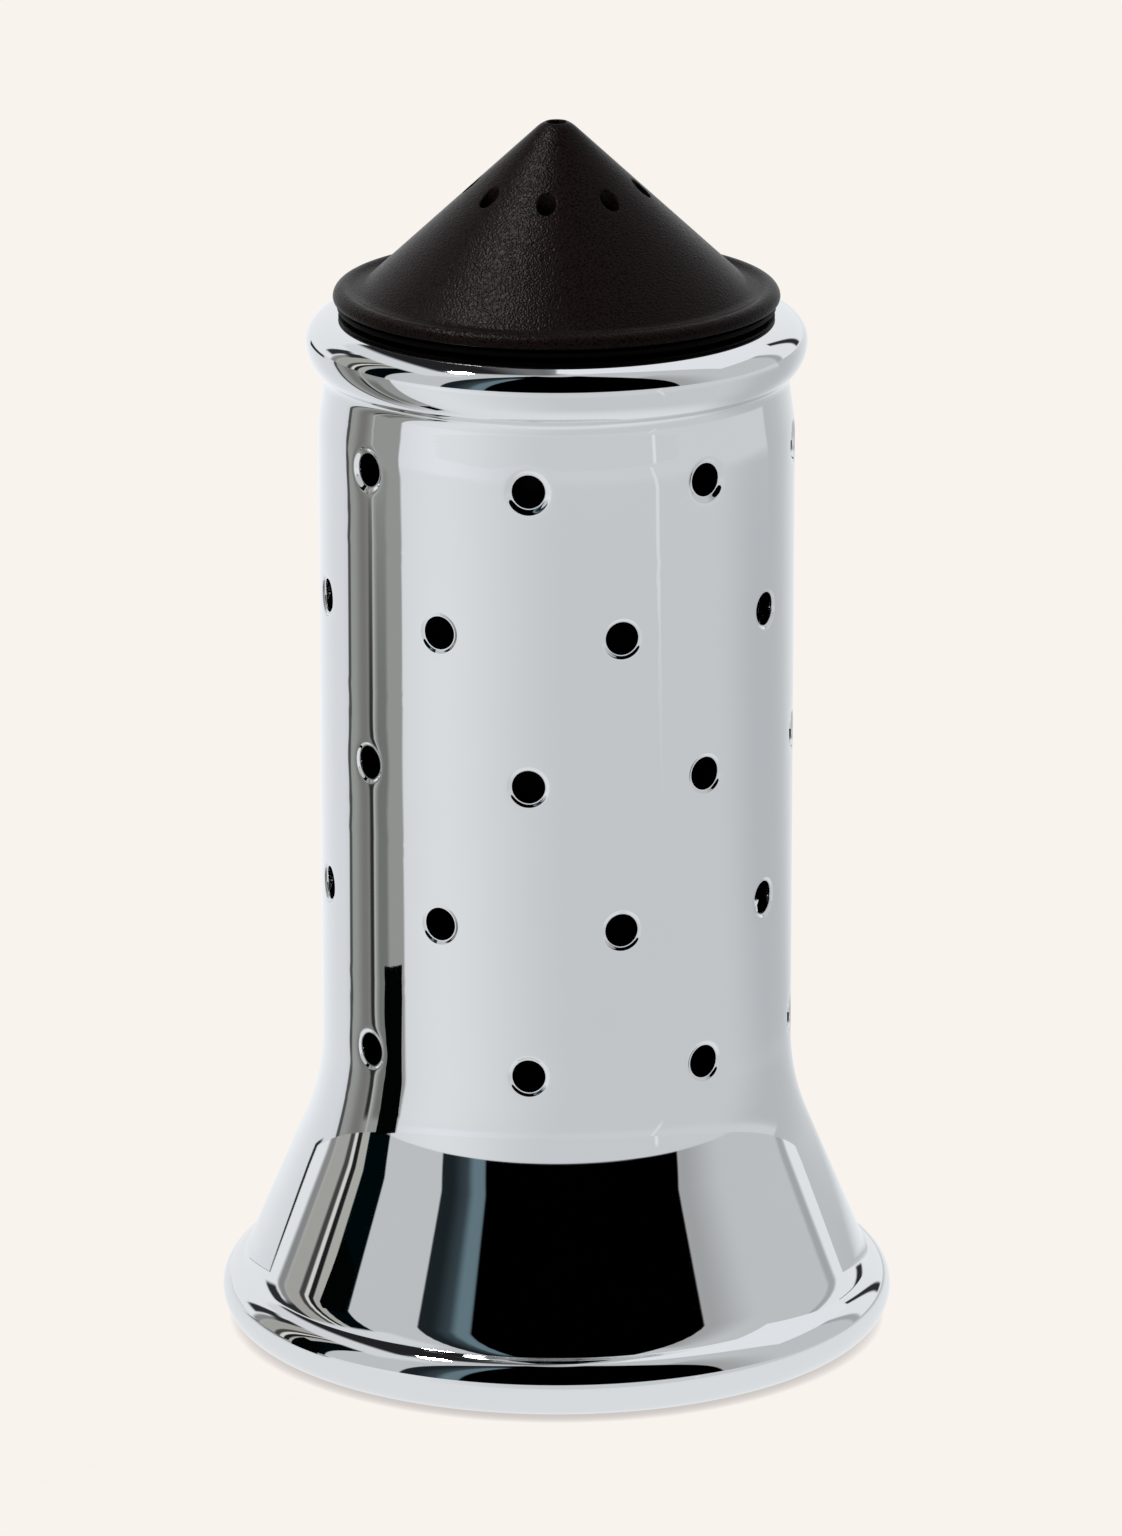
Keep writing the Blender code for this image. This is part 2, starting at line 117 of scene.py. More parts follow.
class CasingSizes(bpy.types.PropertyGroup):
    tube_radius: length("Outer radius of the steel tube", 20.0)
    sheet: length("Thickness of the steel sheet", 0.8)
    height: length("Height of the casing's rim", 88.3)
    bead_projection: length("How far the top bead stands out of the tube", 1.0)
    bead_rise: length("Height of the rim over the top bead's widest line", 2.4)
    bead_round: length("Width of the top bead's rounded crown", 3.2)
    rim_inset: length("How far the rim lies inside the tube", 2.7)
    neck_depth: length("How far the neck is drawn in", 0.5)
    neck_drop: length("Height from the bead's middle to the neck", 3.5)
    bead_share: FloatProperty(
        description="Share of the bead in the curve to the neck", default=0.72, min=0.1, max=0.9
    )
    neck_taper: angle("Slope from the neck to the tube", 8.0)
    neck_blend: length("Radius between the neck's slope and the tube", 12.0)
    foot_radius: length("Outer radius of the rolled foot", 28.7)
    foot_middle: length("Height of the widest line of the foot", 2.6)
    groove_rise: length("Height from the foot's middle to its groove", 2.45)
    groove_inset: length("Depth of the groove behind the foot's edge", 1.87)
    foot_curl: length("Width of the foot's lower curl", 2.5)
    foot_land: length("Width of the flat ring that the shaker stands on", 1.4)
    flare_angle: angle("Slope of the flare from the axis", 23.0)
    flare_blend: length("Radius between the tube and the flare", 21.0)
    hole_radius: length("Radius of the holes in the tube", 1.4)
    hole_land: length("Width of the bright ring at the edge of a hole", 0.1)
    hole_dish: length("Width of the dished ring round a hole", 0.25)
    top_dish: length("Width of the dished ring round the top row's holes", 0.42)
    hole_pitch: length("Height between the rows of holes", 12.56)
    top_row_drop: length("Height from the rim to the top row of holes", 10.68)
    pierced_over: length("Height of the pierced tube over the top row of holes", 3.4)
    pierced_under: length("Height of the pierced tube under the lowest row of holes", 4.9)
    hole_phase: angle("Place of the first hole, counted from the front", -6.7)
    hole_rows: count("Rows of holes", 5)
    row_holes: count("Holes in each row", 8)


class CapSizes(bpy.types.PropertyGroup):
    seat: length("Height of the cap's underside", 89.3)
    lip_radius: length("Outer radius of the cap's lip", 18.7)
    lip_round: length("Radius of the lip's edge", 0.9)
    lip_undercut: length("Height of the lip's centre over the seat", 0.25)
    lip_edge: length("Radius of the lip's lower edge", 0.15)
    valley_round: length("Radius between the cone and the lip", 1.0)
    cone_half_angle: angle("Slope of the cone from its axis", 47.2)
    cone_inset: length("How far the cone's foot lies inside the lip", 1.57)
    cone_wall: length("Thickness of the cone", 1.8)
    tip_round: length("Radius of the tip", 2.4)
    tip_rim: length("Width of the rounded rim of the hole in the tip", 0.16)
    skirt_radius: length("Outer radius of the threaded skirt", 14.4)
    skirt_wall: length("Thickness of the skirt", 1.6)
    skirt_length: length("Length of the skirt", 10.0)
    skirt_edge: length("Radius of the edges at the skirt's end", 0.4)
    pierced_from: length("Inner radius of the pierced zone of the cone", 4.9)
    pierced_to: length("Outer radius of the pierced zone of the cone", 9.9)
    pour_radius: length("Radius of the pouring holes", 0.8)
    pour_ring: length("Radius of the ring of pouring holes", 7.05)
    pour_holes: count("Pouring holes in the ring", 8)
    thread_radius: length("Radius of the round thread", 0.9)
    thread_lead: length("Rise of the thread in one turn", 4.0)
    thread_top: length("Height of the upper end of the cap's thread", 84.577)


class LinerSizes(bpy.types.PropertyGroup):
    radius: length("Outer radius of the liner", 17.0)
    wall: length("Thickness of the wall", 1.4)
    floor: length("Thickness of the floor", 1.8)
    floor_ring: length("Radius of the first ring of edges on the floor", 4.0)
    bottom: length("Height of the liner's underside", 19.2)
    corner: length("Radius at the bottom", 2.0)
    draft: length("Narrowing towards the bottom", 0.4)
    neck: length("Height of the start of the threaded neck", 79.3)
    flange_radius: length("Outer radius of the flange", 18.35)
    flange_bottom: length("Height of the flange's underside", 88.55)
    flange_top: length("Height of the flange's top", 89.05)
    flange_edge: length("Rounding of the flange", 0.15)
    ledge: length("Height of the ledge under the seal", 87.7)
    ledge_radius: length("Radius of the seal's recess", 16.2)
    thread_top: length("Height of the upper end of the neck's thread", 86.3)
    boss_radius: length("Radius of the boss under the floor", 5.5)
    boss_bottom: length("Height of the boss's end", 11.0)
    bore_radius: length("Radius of the bore for the insert", 3.45)
    bore_top: length("Height of the bore's end", 17.3)


class BaseSizes(bpy.types.PropertyGroup):
    seal_inside: length("Inner radius of the seal", 14.65)
    seal_outside: length("Outer radius of the seal", 15.95)
    seal_bottom: length("Height of the seal's underside", 87.95)
    seal_top: length("Height of the seal's top", 89.05)
    seal_edge: length("Radius of the seal's edges", 0.35)
    plate_bottom: length("Height of the plate's underside", 5.6)
    plate_top: length("Height of the plate's top", 7.4)
    plate_lower_edge: length("Radius of the plate's lower edge", 25.4775)
    plate_upper_edge: length("Radius of the plate's upper edge", 24.7134)
    plate_edge: length("Radius of the plate's edges", 0.25)
    plate_rim: length("Width of the plate's rim round the recess in its underside", 2.4)
    recess_depth: length("Depth of the recess", 0.25)
    recess_slope: length("Width of the recess's sloping sides", 0.2)
    recess_land: length("Width of the flat ring round the washer", 2.0)
    hub_inside: length("Inner radius of the hub", 5.75)
    hub_outside: length("Outer radius of the hub", 7.15)
    hub_top: length("Height of the hub's top", 13.4)
    hub_floor: length("Height of the hub's floor", 10.75)
    bore: length("Radius of the screw's clearance hole", 2.25)
    screw_radius: length("Radius of the screw", 2.0)
    screw_top: length("Height of the screw's end", 15.75)
    screw_tip: length("Chamfer at the screw's end", 0.3)
    head_radius: length("Radius of the screw's head", 3.5)
    head_top: length("Height of the head's bearing face", 4.3)
    head_bottom: length("Height of the head's end", 2.1)
    head_edge: length("Radius of the head's lower edge", 0.4)
    head_rim: length("Chamfer round the head's bearing face", 0.1)
    socket_radius: length("Radius of the hexagon socket's corners", 1.45)
    socket_depth: length("Depth of the hexagon socket", 1.3)
    washer_radius: length("Outer radius of the washer", 4.6)
    washer_bottom: length("Height of the washer's underside", 4.55)
    washer_top: length("Height of the washer's top", 5.35)
    washer_edge: length("Radius of the washer's edges", 0.15)
    insert_radius: length("Outer radius of the brass insert", 3.2)
    insert_bottom: length("Height of the insert's end", 11.25)
    insert_length: length("Length of the insert", 5.8)
    insert_groove: length("Depth of the insert's groove", 0.4)
    insert_edge: length("Radius of the insert's edges", 0.12)


class ShakerColours(bpy.types.PropertyGroup):
    steel: colour("Mirror-polished steel", (0.76, 0.775, 0.785))
    cap: colour("Grained plastic of the cap", (0.0057, 0.0033, 0.0031))
    # The liner's near-black is partly its own black plastic and partly painted shade: it is darkened so the
    # gap under the cap's lip and the view through the holes read as shade.
    liner: colour("Smooth plastic of the liner", (0.002, 0.0014, 0.0015))
    seal: colour("Rubber of the seal", (0.018, 0.018, 0.019))
    plate: colour("Moulded plastic of the base plate", (0.014, 0.0125, 0.0125))
    fastener: colour("Steel of the screw and washer", (0.55, 0.55, 0.56))
    brass: colour("Turned brass of the insert", (0.72, 0.5, 0.2))


class StageSettings(bpy.types.PropertyGroup):
    floor: colour("Colour of the pale floor", (0.947, 0.896, 0.855))
    lens: FloatProperty(description="Focal length in millimetres", default=213.34, min=1.0)
    camera_place: place("Place of the camera", (0.00037, -0.741, 0.26375))
    camera_pitch: angle("How far the camera looks down", 16.203)
    flag_place: place("Place of the black flag", (-0.0594, -0.0167, 0.0105))
    flag_height: length("Height of the black flag", 21.0)
    flag_width: length("Width of the black flag", 11.0)
    lamp_turn: angle("Azimuth of the lamp, from the front towards +X", -88.0)
    lamp_rise: angle("Elevation of the lamp", 65.0)
    lamp_target: length("Height that the lamp points at", 90.0)
    lamp_distance: length("Distance of the lamp from that point", 900.0)
    lamp_size: length("Side of the square lamp", 100.0)
    lamp_power: FloatProperty(description="Power of the lamp in watts", default=6.5, min=0.0)
    lamp_colour: colour("Colour of the lamp's light", (1.0, 0.98, 0.96))


def deselect():
    """Leaves edit mode with nothing selected."""
    if bpy.context.object and bpy.context.object.mode != "OBJECT":
        bpy.ops.object.mode_set(mode="OBJECT")
    bpy.ops.object.select_all(action="DESELECT")


def edit_edges(item):
    """Opens a piece for work on its edges, all selected."""
    deselect()
    bpy.context.view_layer.objects.active = item
    item.select_set(True)
    bpy.ops.object.mode_set(mode="EDIT")
    bpy.ops.mesh.select_mode(type="EDGE")
    bpy.ops.mesh.select_all(action="SELECT")


def arc(centre, radius, start, end, steps):
    """Points of an arc in a section's plane, between two angles in degrees."""
    turn = (end - start) / steps
    angles = [math.radians(start + turn * step) for step in range(steps + 1)]
    return [Vector((centre[0] + radius * math.cos(a), centre[1] + radius * math.sin(a))) for a in angles]


def oval(centre, width, height, start, end, steps):
    """Points of an oval arc, with half its width and half its height."""
    around = arc((0, 0), 1.0, start, end, steps)
    return [Vector((centre[0] + width * point.x, centre[1] + height * point.y)) for point in around]


def line(start, end, steps):
    """Points on a straight line after its start."""
    first, last = Vector(start), Vector(end)
    return [first.lerp(last, step / steps) for step in range(1, steps + 1)]


def rounded(section, radius, steps=3):
    """A closed section with each corner rounded."""
    points = []
    for number, corner in enumerate(section):
        corner = Vector(corner)
        before = Vector(section[number - 1]) - corner
        after = Vector(section[(number + 1) % len(section)]) - corner
        reach = min(radius, before.length / CORNER_LIMIT, after.length / CORNER_LIMIT)
        start = corner + before.normalized() * reach
        end = corner + after.normalized() * reach
        for step in range(steps + 1):
            share = step / steps
            points.append(start.lerp(corner, share).lerp(corner.lerp(end, share), share))
    return points


def inset(section, distance):
    """A section moved sideways by a wall's thickness, to the right of its direction."""
    moved = []
    for number, point in enumerate(section):
        before = section[max(number - 1, 0)]
        after = section[min(number + 1, len(section) - 1)]
        along = (after - before).normalized()
        moved.append(point + Vector((along.y, -along.x)) * distance)
    return moved


def ring_at(item, radius, height):
    """Selects the open ring of edges at a radius and height."""
    shape = bmesh.from_edit_mesh(item.data)
    for part in list(shape.faces) + list(shape.edges) + list(shape.verts):
        part.select = False
    for edge in shape.edges:
        off = [abs(point.co.z - height) + abs(point.co.xy.length - radius) for point in edge.verts]
        if len(edge.link_faces) < 2 and max(off) < RING_NEAR:
            edge.select_set(True)
    if not any(edge.select for edge in shape.edges):
        raise RuntimeError("No open ring at radius %.5f and height %.5f" % (radius, height))
    bmesh.update_edit_mesh(item.data)


def pull_ring(start, section):
    """Extrudes the selected ring from point to point of a section; a point on the axis closes it."""
    radius, height = start
    for next_radius, next_height in section:
        bpy.ops.mesh.extrude_region_move(TRANSFORM_OT_translate={"value": (0, 0, next_height - height)})
        if next_radius < MERGE:
            bpy.ops.mesh.merge(type="CENTER")
            return
        grow = next_radius / radius
        bpy.ops.transform.resize(value=(grow, grow, 1), center_override=(0, 0, next_height))
        radius, height = next_radius, next_height


def new_ring(name, steps, radius, centre, **more):
    """A new piece of one ring, open for work on its edges."""
    deselect()
    bpy.ops.mesh.primitive_circle_add(vertices=steps, radius=radius, location=centre, **more)
    item = bpy.context.object
    item.name = name
    item.data.name = name
    bpy.ops.object.transform_apply(location=True, rotation=True, scale=True)
    edit_edges(item)
    return item


def turned(name, section, steps=160, closed=False):
    """A piece turned about the axis: one ring, extruded and resized along its section."""
    first = section[0]
    rest = list(section[1:])
    pole = first[0] < MERGE
    if pole:
        first, rest = rest[0], rest[1:]
    if closed:
        rest.append(first)
    item = new_ring(name, steps, first[0], (0, 0, first[1]))
    pull_ring(first, rest)
    if pole:
        ring_at(item, first[0], first[1])
        pull_ring(first, [section[0]])
    return item


def weld(item):
    """Merges the doubles where tiles meet."""
    edit_edges(item)
    bpy.ops.mesh.remove_doubles(threshold=MERGE)
    bpy.ops.object.mode_set(mode="OBJECT")
    return item


def clean(item, sharp=40.0):
    """Merges doubles, turns the faces outwards and smooths all but the sharp edges."""
    edit_edges(item)
    bpy.ops.mesh.remove_doubles(threshold=MERGE)
    bpy.ops.mesh.normals_make_consistent(inside=False)
    bpy.ops.object.mode_set(mode="OBJECT")
    bpy.ops.object.shade_smooth_by_angle(angle=math.radians(sharp))
    for layer in [a for a in item.data.attributes if a.name == "spot"]:
        item.data.attributes.remove(layer)
    return item


def combine(item, other, operation):
    """Adds or cuts one closed piece with another, which is then gone."""
    deselect()
    bpy.context.view_layer.objects.active = item
    item.select_set(True)
    modifier = item.modifiers.new(other.name, "BOOLEAN")
    modifier.operation = operation
    modifier.solver = "EXACT"
    modifier.object = other
    bpy.ops.object.modifier_apply(modifier=modifier.name)
    bpy.data.objects.remove(other)


def join(items):
    """Joins pieces into the first of them."""
    deselect()
    for item in items:
        item.select_set(True)
    bpy.context.view_layer.objects.active = items[0]
    bpy.ops.object.join()
    return items[0]


def pierced_tile(name, centre, border, outer, inner):
    """A patch of sheet round one hole: rings from its wall to the border, on the outer and inner side.

    Each ring is (radius, depth); the border's points run anticlockwise from the right of the centre.
    """
    steps = len(border)
    radius, depth = outer[0]
    tile = new_ring(name, steps, radius, (centre.x, centre.y, -depth))
    shape = bmesh.from_edit_mesh(tile.data)
    spot = shape.verts.layers.int.new("spot")
    for point in shape.verts:
        around = point.co.xy - centre
        point[spot] = round(math.atan2(around.y, around.x) / (2 * math.pi) * steps) % steps
    bmesh.update_edit_mesh(tile.data)
    for side, shares in ((outer[1:], SPREAD_SHARES), (inner, (1.0,))):
        shape = bmesh.from_edit_mesh(tile.data)
        for edge in shape.edges:
            at_start = all(abs(p.co.z + depth) < MERGE for p in edge.verts)
            edge.select_set(at_start and len(edge.link_faces) < 2)
        shape.select_flush_mode()
        bmesh.update_edit_mesh(tile.data)
        last_radius, last_depth = radius, depth
        for next_radius, next_depth in side:
            rise = last_depth - next_depth
            bpy.ops.mesh.extrude_region_move(TRANSFORM_OT_translate={"value": (0, 0, rise)})
            grow = next_radius / last_radius
            pivot = (centre.x, centre.y, -next_depth)
            bpy.ops.transform.resize(value=(grow, grow, 1), center_override=pivot)
            last_radius, last_depth = next_radius, next_depth
        for share in shares:
            bpy.ops.mesh.extrude_region_move()
            spread(tile, centre, border, last_radius, share)
    bpy.ops.object.mode_set(mode="OBJECT")
    return tile


def spread(tile, centre, border, radius, share):
    """Moves the selected ring a share of the way from its circle to the tile's border."""
    shape = bmesh.from_edit_mesh(tile.data)
    spot = shape.verts.layers.int["spot"]
    for point in shape.verts:
        if point.select:
            turn = 2 * math.pi * point[spot] / len(border)
            start = centre + radius * Vector((math.cos(turn), math.sin(turn)))
            point.co.xy = start.lerp(border[point[spot]], share)
    bmesh.update_edit_mesh(tile.data)


def thread_ridge(radius, top, sizes, turns=0.9, steps=96, sides=20):
    """A round ridge along a right-hand helix, closed at its ends."""
    upright = (math.radians(90), 0, 0)
    centre = (radius, 0, top - sizes.thread_lead * turns)
    ridge = new_ring(
        "thread_ridge", sides, sizes.thread_radius, centre, fill_type="NGON", rotation=upright
    )
    step_turn = 2 * math.pi * turns / steps
    step_rise = sizes.thread_lead * turns / steps
    for _ in range(steps):
        bpy.ops.mesh.extrude_region_move(TRANSFORM_OT_translate={"value": (0, 0, step_rise)})
        turn_selected(ridge, step_turn)
    bpy.ops.mesh.select_all(action="SELECT")
    bpy.ops.mesh.normals_make_consistent(inside=False)
    bpy.ops.object.mode_set(mode="OBJECT")
    return ridge


def turn_selected(item, turn):
    """Turns the selected points about the axis."""
    shape = bmesh.from_edit_mesh(item.data)
    turning = Matrix.Rotation(turn, 3, "Z")
    for point in shape.verts:
        if point.select:
            point.co = turning @ point.co
    bmesh.update_edit_mesh(item.data)


def height_to_radius(section):
    """The radius of a section at a height, between its points."""
    places = sorted((point.y, point.x) for point in section)

    def radius(height):
        for (low, low_radius), (high, high_radius) in zip(places, places[1:]):
            if low <= height <= high and high > low:
                return low_radius + (high_radius - low_radius) * (height - low) / (high - low)
        raise RuntimeError("No radius at height %.5f" % height)

    return radius


def bead_section(s):
    """The top bead's outer side from the tube up to the rim, and the start of the neck's blend."""
    middle = s.height - s.bead_rise
    bead = s.tube_radius + s.bead_projection
    neck = s.tube_radius - s.neck_depth
    reach = bead - neck
    both = (s.neck_drop**2 + reach**2) / (2 * reach)
    lower = s.bead_share * both
    upper = both - lower
    turn = math.degrees(math.asin(s.neck_drop / both))
    taper = math.degrees(s.neck_taper)
    rim = Vector((s.tube_radius - s.rim_inset, s.height))
    crown_start = Vector((bead - s.bead_round, s.height))
    points = [rim] + line(rim, crown_start, 3)
    points += oval((bead - s.bead_round, middle), s.bead_round, s.bead_rise, 90, 0, 22)[1:]
    points += arc((bead - lower, middle), lower, 0, -turn, 18)[1:]
    points += arc((neck + upper, middle - s.neck_drop), upper, 180 - turn, 180 + taper, 16)[1:]
    taper_end = points[-1].y - (s.tube_radius - points[-1].x) / math.tan(s.neck_taper)
    blend_end = taper_end - s.neck_blend * math.tan(s.neck_taper / 2)
    blend = arc((s.tube_radius - s.neck_blend, blend_end), s.neck_blend, taper, 0, 16)
    points += line(points[-1], blend[0], 6) + blend[1:]
    return points[::-1]


def flare_section(s):
    """The foot's outer side from the tube down to the inner edge of its land."""
    groove = Vector((s.foot_radius - s.groove_inset, s.foot_middle + s.groove_rise))
    slope = math.degrees(s.flare_angle)
    corner = groove.y + (groove.x - s.tube_radius) / math.tan(s.flare_angle)
    blend_start = corner + s.flare_blend * math.tan(s.flare_angle / 2)
    points = arc((s.tube_radius + s.flare_blend, blend_start), s.flare_blend, 180, 180 + slope, 26)
    points += line(points[-1], groove, 8)
    upper = (s.groove_inset**2 + s.groove_rise**2) / (2 * s.groove_inset)
    start = math.degrees(math.asin(s.groove_rise / upper))
    points += arc((s.foot_radius - upper, s.foot_middle), upper, start, 0, 18)[1:]
    points += oval((s.foot_radius - s.foot_curl, s.foot_middle), s.foot_curl, s.foot_middle, 0, -90, 14)[1:]
    land = points[-1] - Vector((s.foot_land, 0))
    return points + line(points[-1], land, 2)


def tile_border(half, up, middle, down, across, along, at):
    """A tile's edge, anticlockwise from the middle of its right side; at() places each of its points."""
    corners = [(half, middle, along), (half, up, across), (-half, up, along)]
    corners += [(-half, middle, along), (-half, down, across), (half, down, along)]
    points = []
    for (x, y, steps), (next_x, next_y, _) in zip(corners, corners[1:] + corners[:1]):
        for step in range(steps):
            share = step / steps
            points.append(at(x + (next_x - x) * share, y + (next_y - y) * share))
    return points


def laid_flat(x, y):
    """A point of a tube tile."""
    return Vector((x, y))


def from_above(turn, radius):
    """A point of a sector of the cone, seen from above."""
    return Vector((radius * math.sin(turn), -radius * math.cos(turn)))


def plain_tile(width, up, down, depth):
    """A tube tile with no hole, on its outer and inner side."""
    deselect()
    bpy.ops.mesh.primitive_grid_add(x_subdivisions=TUBE_ACROSS, y_subdivisions=2 * TUBE_ALONG, size=2)
    tile = bpy.context.object
    for point in tile.data.vertices:
        point.co.x *= width / 2
        point.co.y *= up if point.co.y > 0 else down
    edit_edges(tile)
    bpy.ops.mesh.duplicate_move(TRANSFORM_OT_translate={"value": (0, 0, -depth)})
    bpy.ops.object.mode_set(mode="OBJECT")
    return tile


def hole_rings(s, dish):
    """A tube hole's rings from its wall outwards, each (radius, depth): flat land, dish and fading edge."""
    hole = s.hole_radius
    land = hole + s.hole_land
    step = 0.012 * MM
    bevel = 0.003 * MM
    shallow = 0.014 * MM
    fall = 0.6 * dish
    deep = shallow + fall
    rings = [(hole, deep + 0.15 * MM), (hole + bevel, deep + 0.03 * MM)]
    rings += [(hole + step, deep), (hole + 2 * step, deep)]
    rings += [(land - step, deep), (land, deep - bevel)]
    rings += [(land + share * dish, shallow + depth * fall) for share, depth in DISH]
    rings += [(land + dish + 0.11 * MM, shallow)]
    return rings + [(hole + reach * MM, depth * MM) for reach, depth in DISH_FADE]


class SHAKER_OT_casing(bpy.types.Operator):
    """Makes the steel casing: pierced tube, top bead, flare and rolled foot"""

    bl_idname = "shaker.casing"
    bl_label = "Steel Casing"

    def execute(self, context):
        s = context.scene.shaker_casing
        bead = bead_section(s)
        flare = flare_section(s)
        radius_at = height_to_radius(bead[:BEAD_POINTS] + flare[:FLARE_POINTS])
        first_row = s.height - s.top_row_drop
        top = first_row + s.pierced_over
        low = first_row - (s.hole_rows - 1) * s.hole_pitch - s.pierced_under
        tube = self.pierced_tube(s, top, low, radius_at)
        for section, height, way in ((bead, top, 1), (flare, low, -1)):
            outside = [point for point in section if way * (point.y - height) > MERGE or point.y < MERGE]
            edge = Vector((radius_at(height), height))
            inside = inset([edge] + outside, way * -s.sheet)[::-1]
            inside = [inside[0]] + inside[1:-1:INNER_STRIDE] + [edge - Vector((s.sheet, 0))]
            close = rounded_edge(outside[-1], outside[-2], inside[0], s.sheet)
            edit_edges(tube)
            ring_at(tube, edge.x, edge.y)
            pull_ring(edge, outside[:-1] + close + inside[1:])
        clean(tube, CASING_SHARP)
        dress(tube, context, "shaker_body", "mirror_steel", "casing")
        return {"FINISHED"}

    def pierced_tube(self, s, top, low, radius_at):
        """The pierced part of the tube, tiled flat and then wrapped round the axis."""
        places = 2 * s.row_holes
        width = 2 * math.pi * s.tube_radius / places
        strips = []
        for row in range(s.hole_rows):
            height = s.height - s.top_row_drop - row * s.hole_pitch
            up = top - height if row == 0 else s.hole_pitch / 2
            down = height - low if row == s.hole_rows - 1 else s.hole_pitch / 2
            dish = s.hole_dish if row else s.top_dish
            strips.append(self.strip(s, width, up, down, height, row % 2, dish))
        tube = join(strips)
        tube.name = "casing_skin"
        tube.data.name = "casing_skin"
        for point in tube.data.vertices:
            around = point.co.x / s.tube_radius + s.hole_phase
            radius = radius_at(min(max(point.co.y, low), top)) + point.co.z
            point.co = (radius * math.sin(around), -radius * math.cos(around), point.co.y)
        return weld(tube)

    def strip(self, s, width, up, down, height, shift, dish):
        """One row: a pierced and a plain tile, side by side, repeated round the tube."""
        inner = [(s.hole_radius + grow * MM, share * s.sheet) for grow, share in HOLE_INSIDE]
        border = tile_border(width / 2, up, 0, -down, TUBE_ACROSS, TUBE_ALONG, laid_flat)
        pierced = pierced_tile("tube_tile", Vector((0, 0)), border, hole_rings(s, dish), inner)
        plain = plain_tile(width, up, down, s.sheet)
        for point in plain.data.vertices:
            point.co.x += width
        strip = join([pierced, plain])
        array = strip.modifiers.new("Row", "ARRAY")
        array.use_relative_offset = False
        array.use_constant_offset = True
        array.constant_offset_displace = (2 * width, 0, 0)
        array.count = s.row_holes
        bpy.ops.object.modifier_apply(modifier=array.name)
        for point in strip.data.vertices:
            point.co.x += shift * width
            point.co.y += height
        return strip


def rounded_edge(end, before, across, wall):
    """The sheet's cut edge at the end of a section, rounded off to the inner side."""
    back = (before - end).normalized() * (wall * EDGE_SHARE)
    side = (across - end).normalized() * (wall * EDGE_SHARE)
    first = [end + back, end + (back + side) * EDGE_BOW, end + side]
    second = [across - side, across + (back - side) * EDGE_BOW, across + back]
    return first + second


def cone_height(s, radius):
    """Height of the cap's cone at a radius."""
    return s.seat + s.lip_undercut + (s.lip_radius - s.cone_inset - radius) / math.tan(s.cone_half_angle)


def cone_inside(s, radius):
    """The point on the inner side of the cap's cone at a radius."""
    return Vector((radius, cone_height(s, radius) - s.cone_wall / math.sin(s.cone_half_angle)))


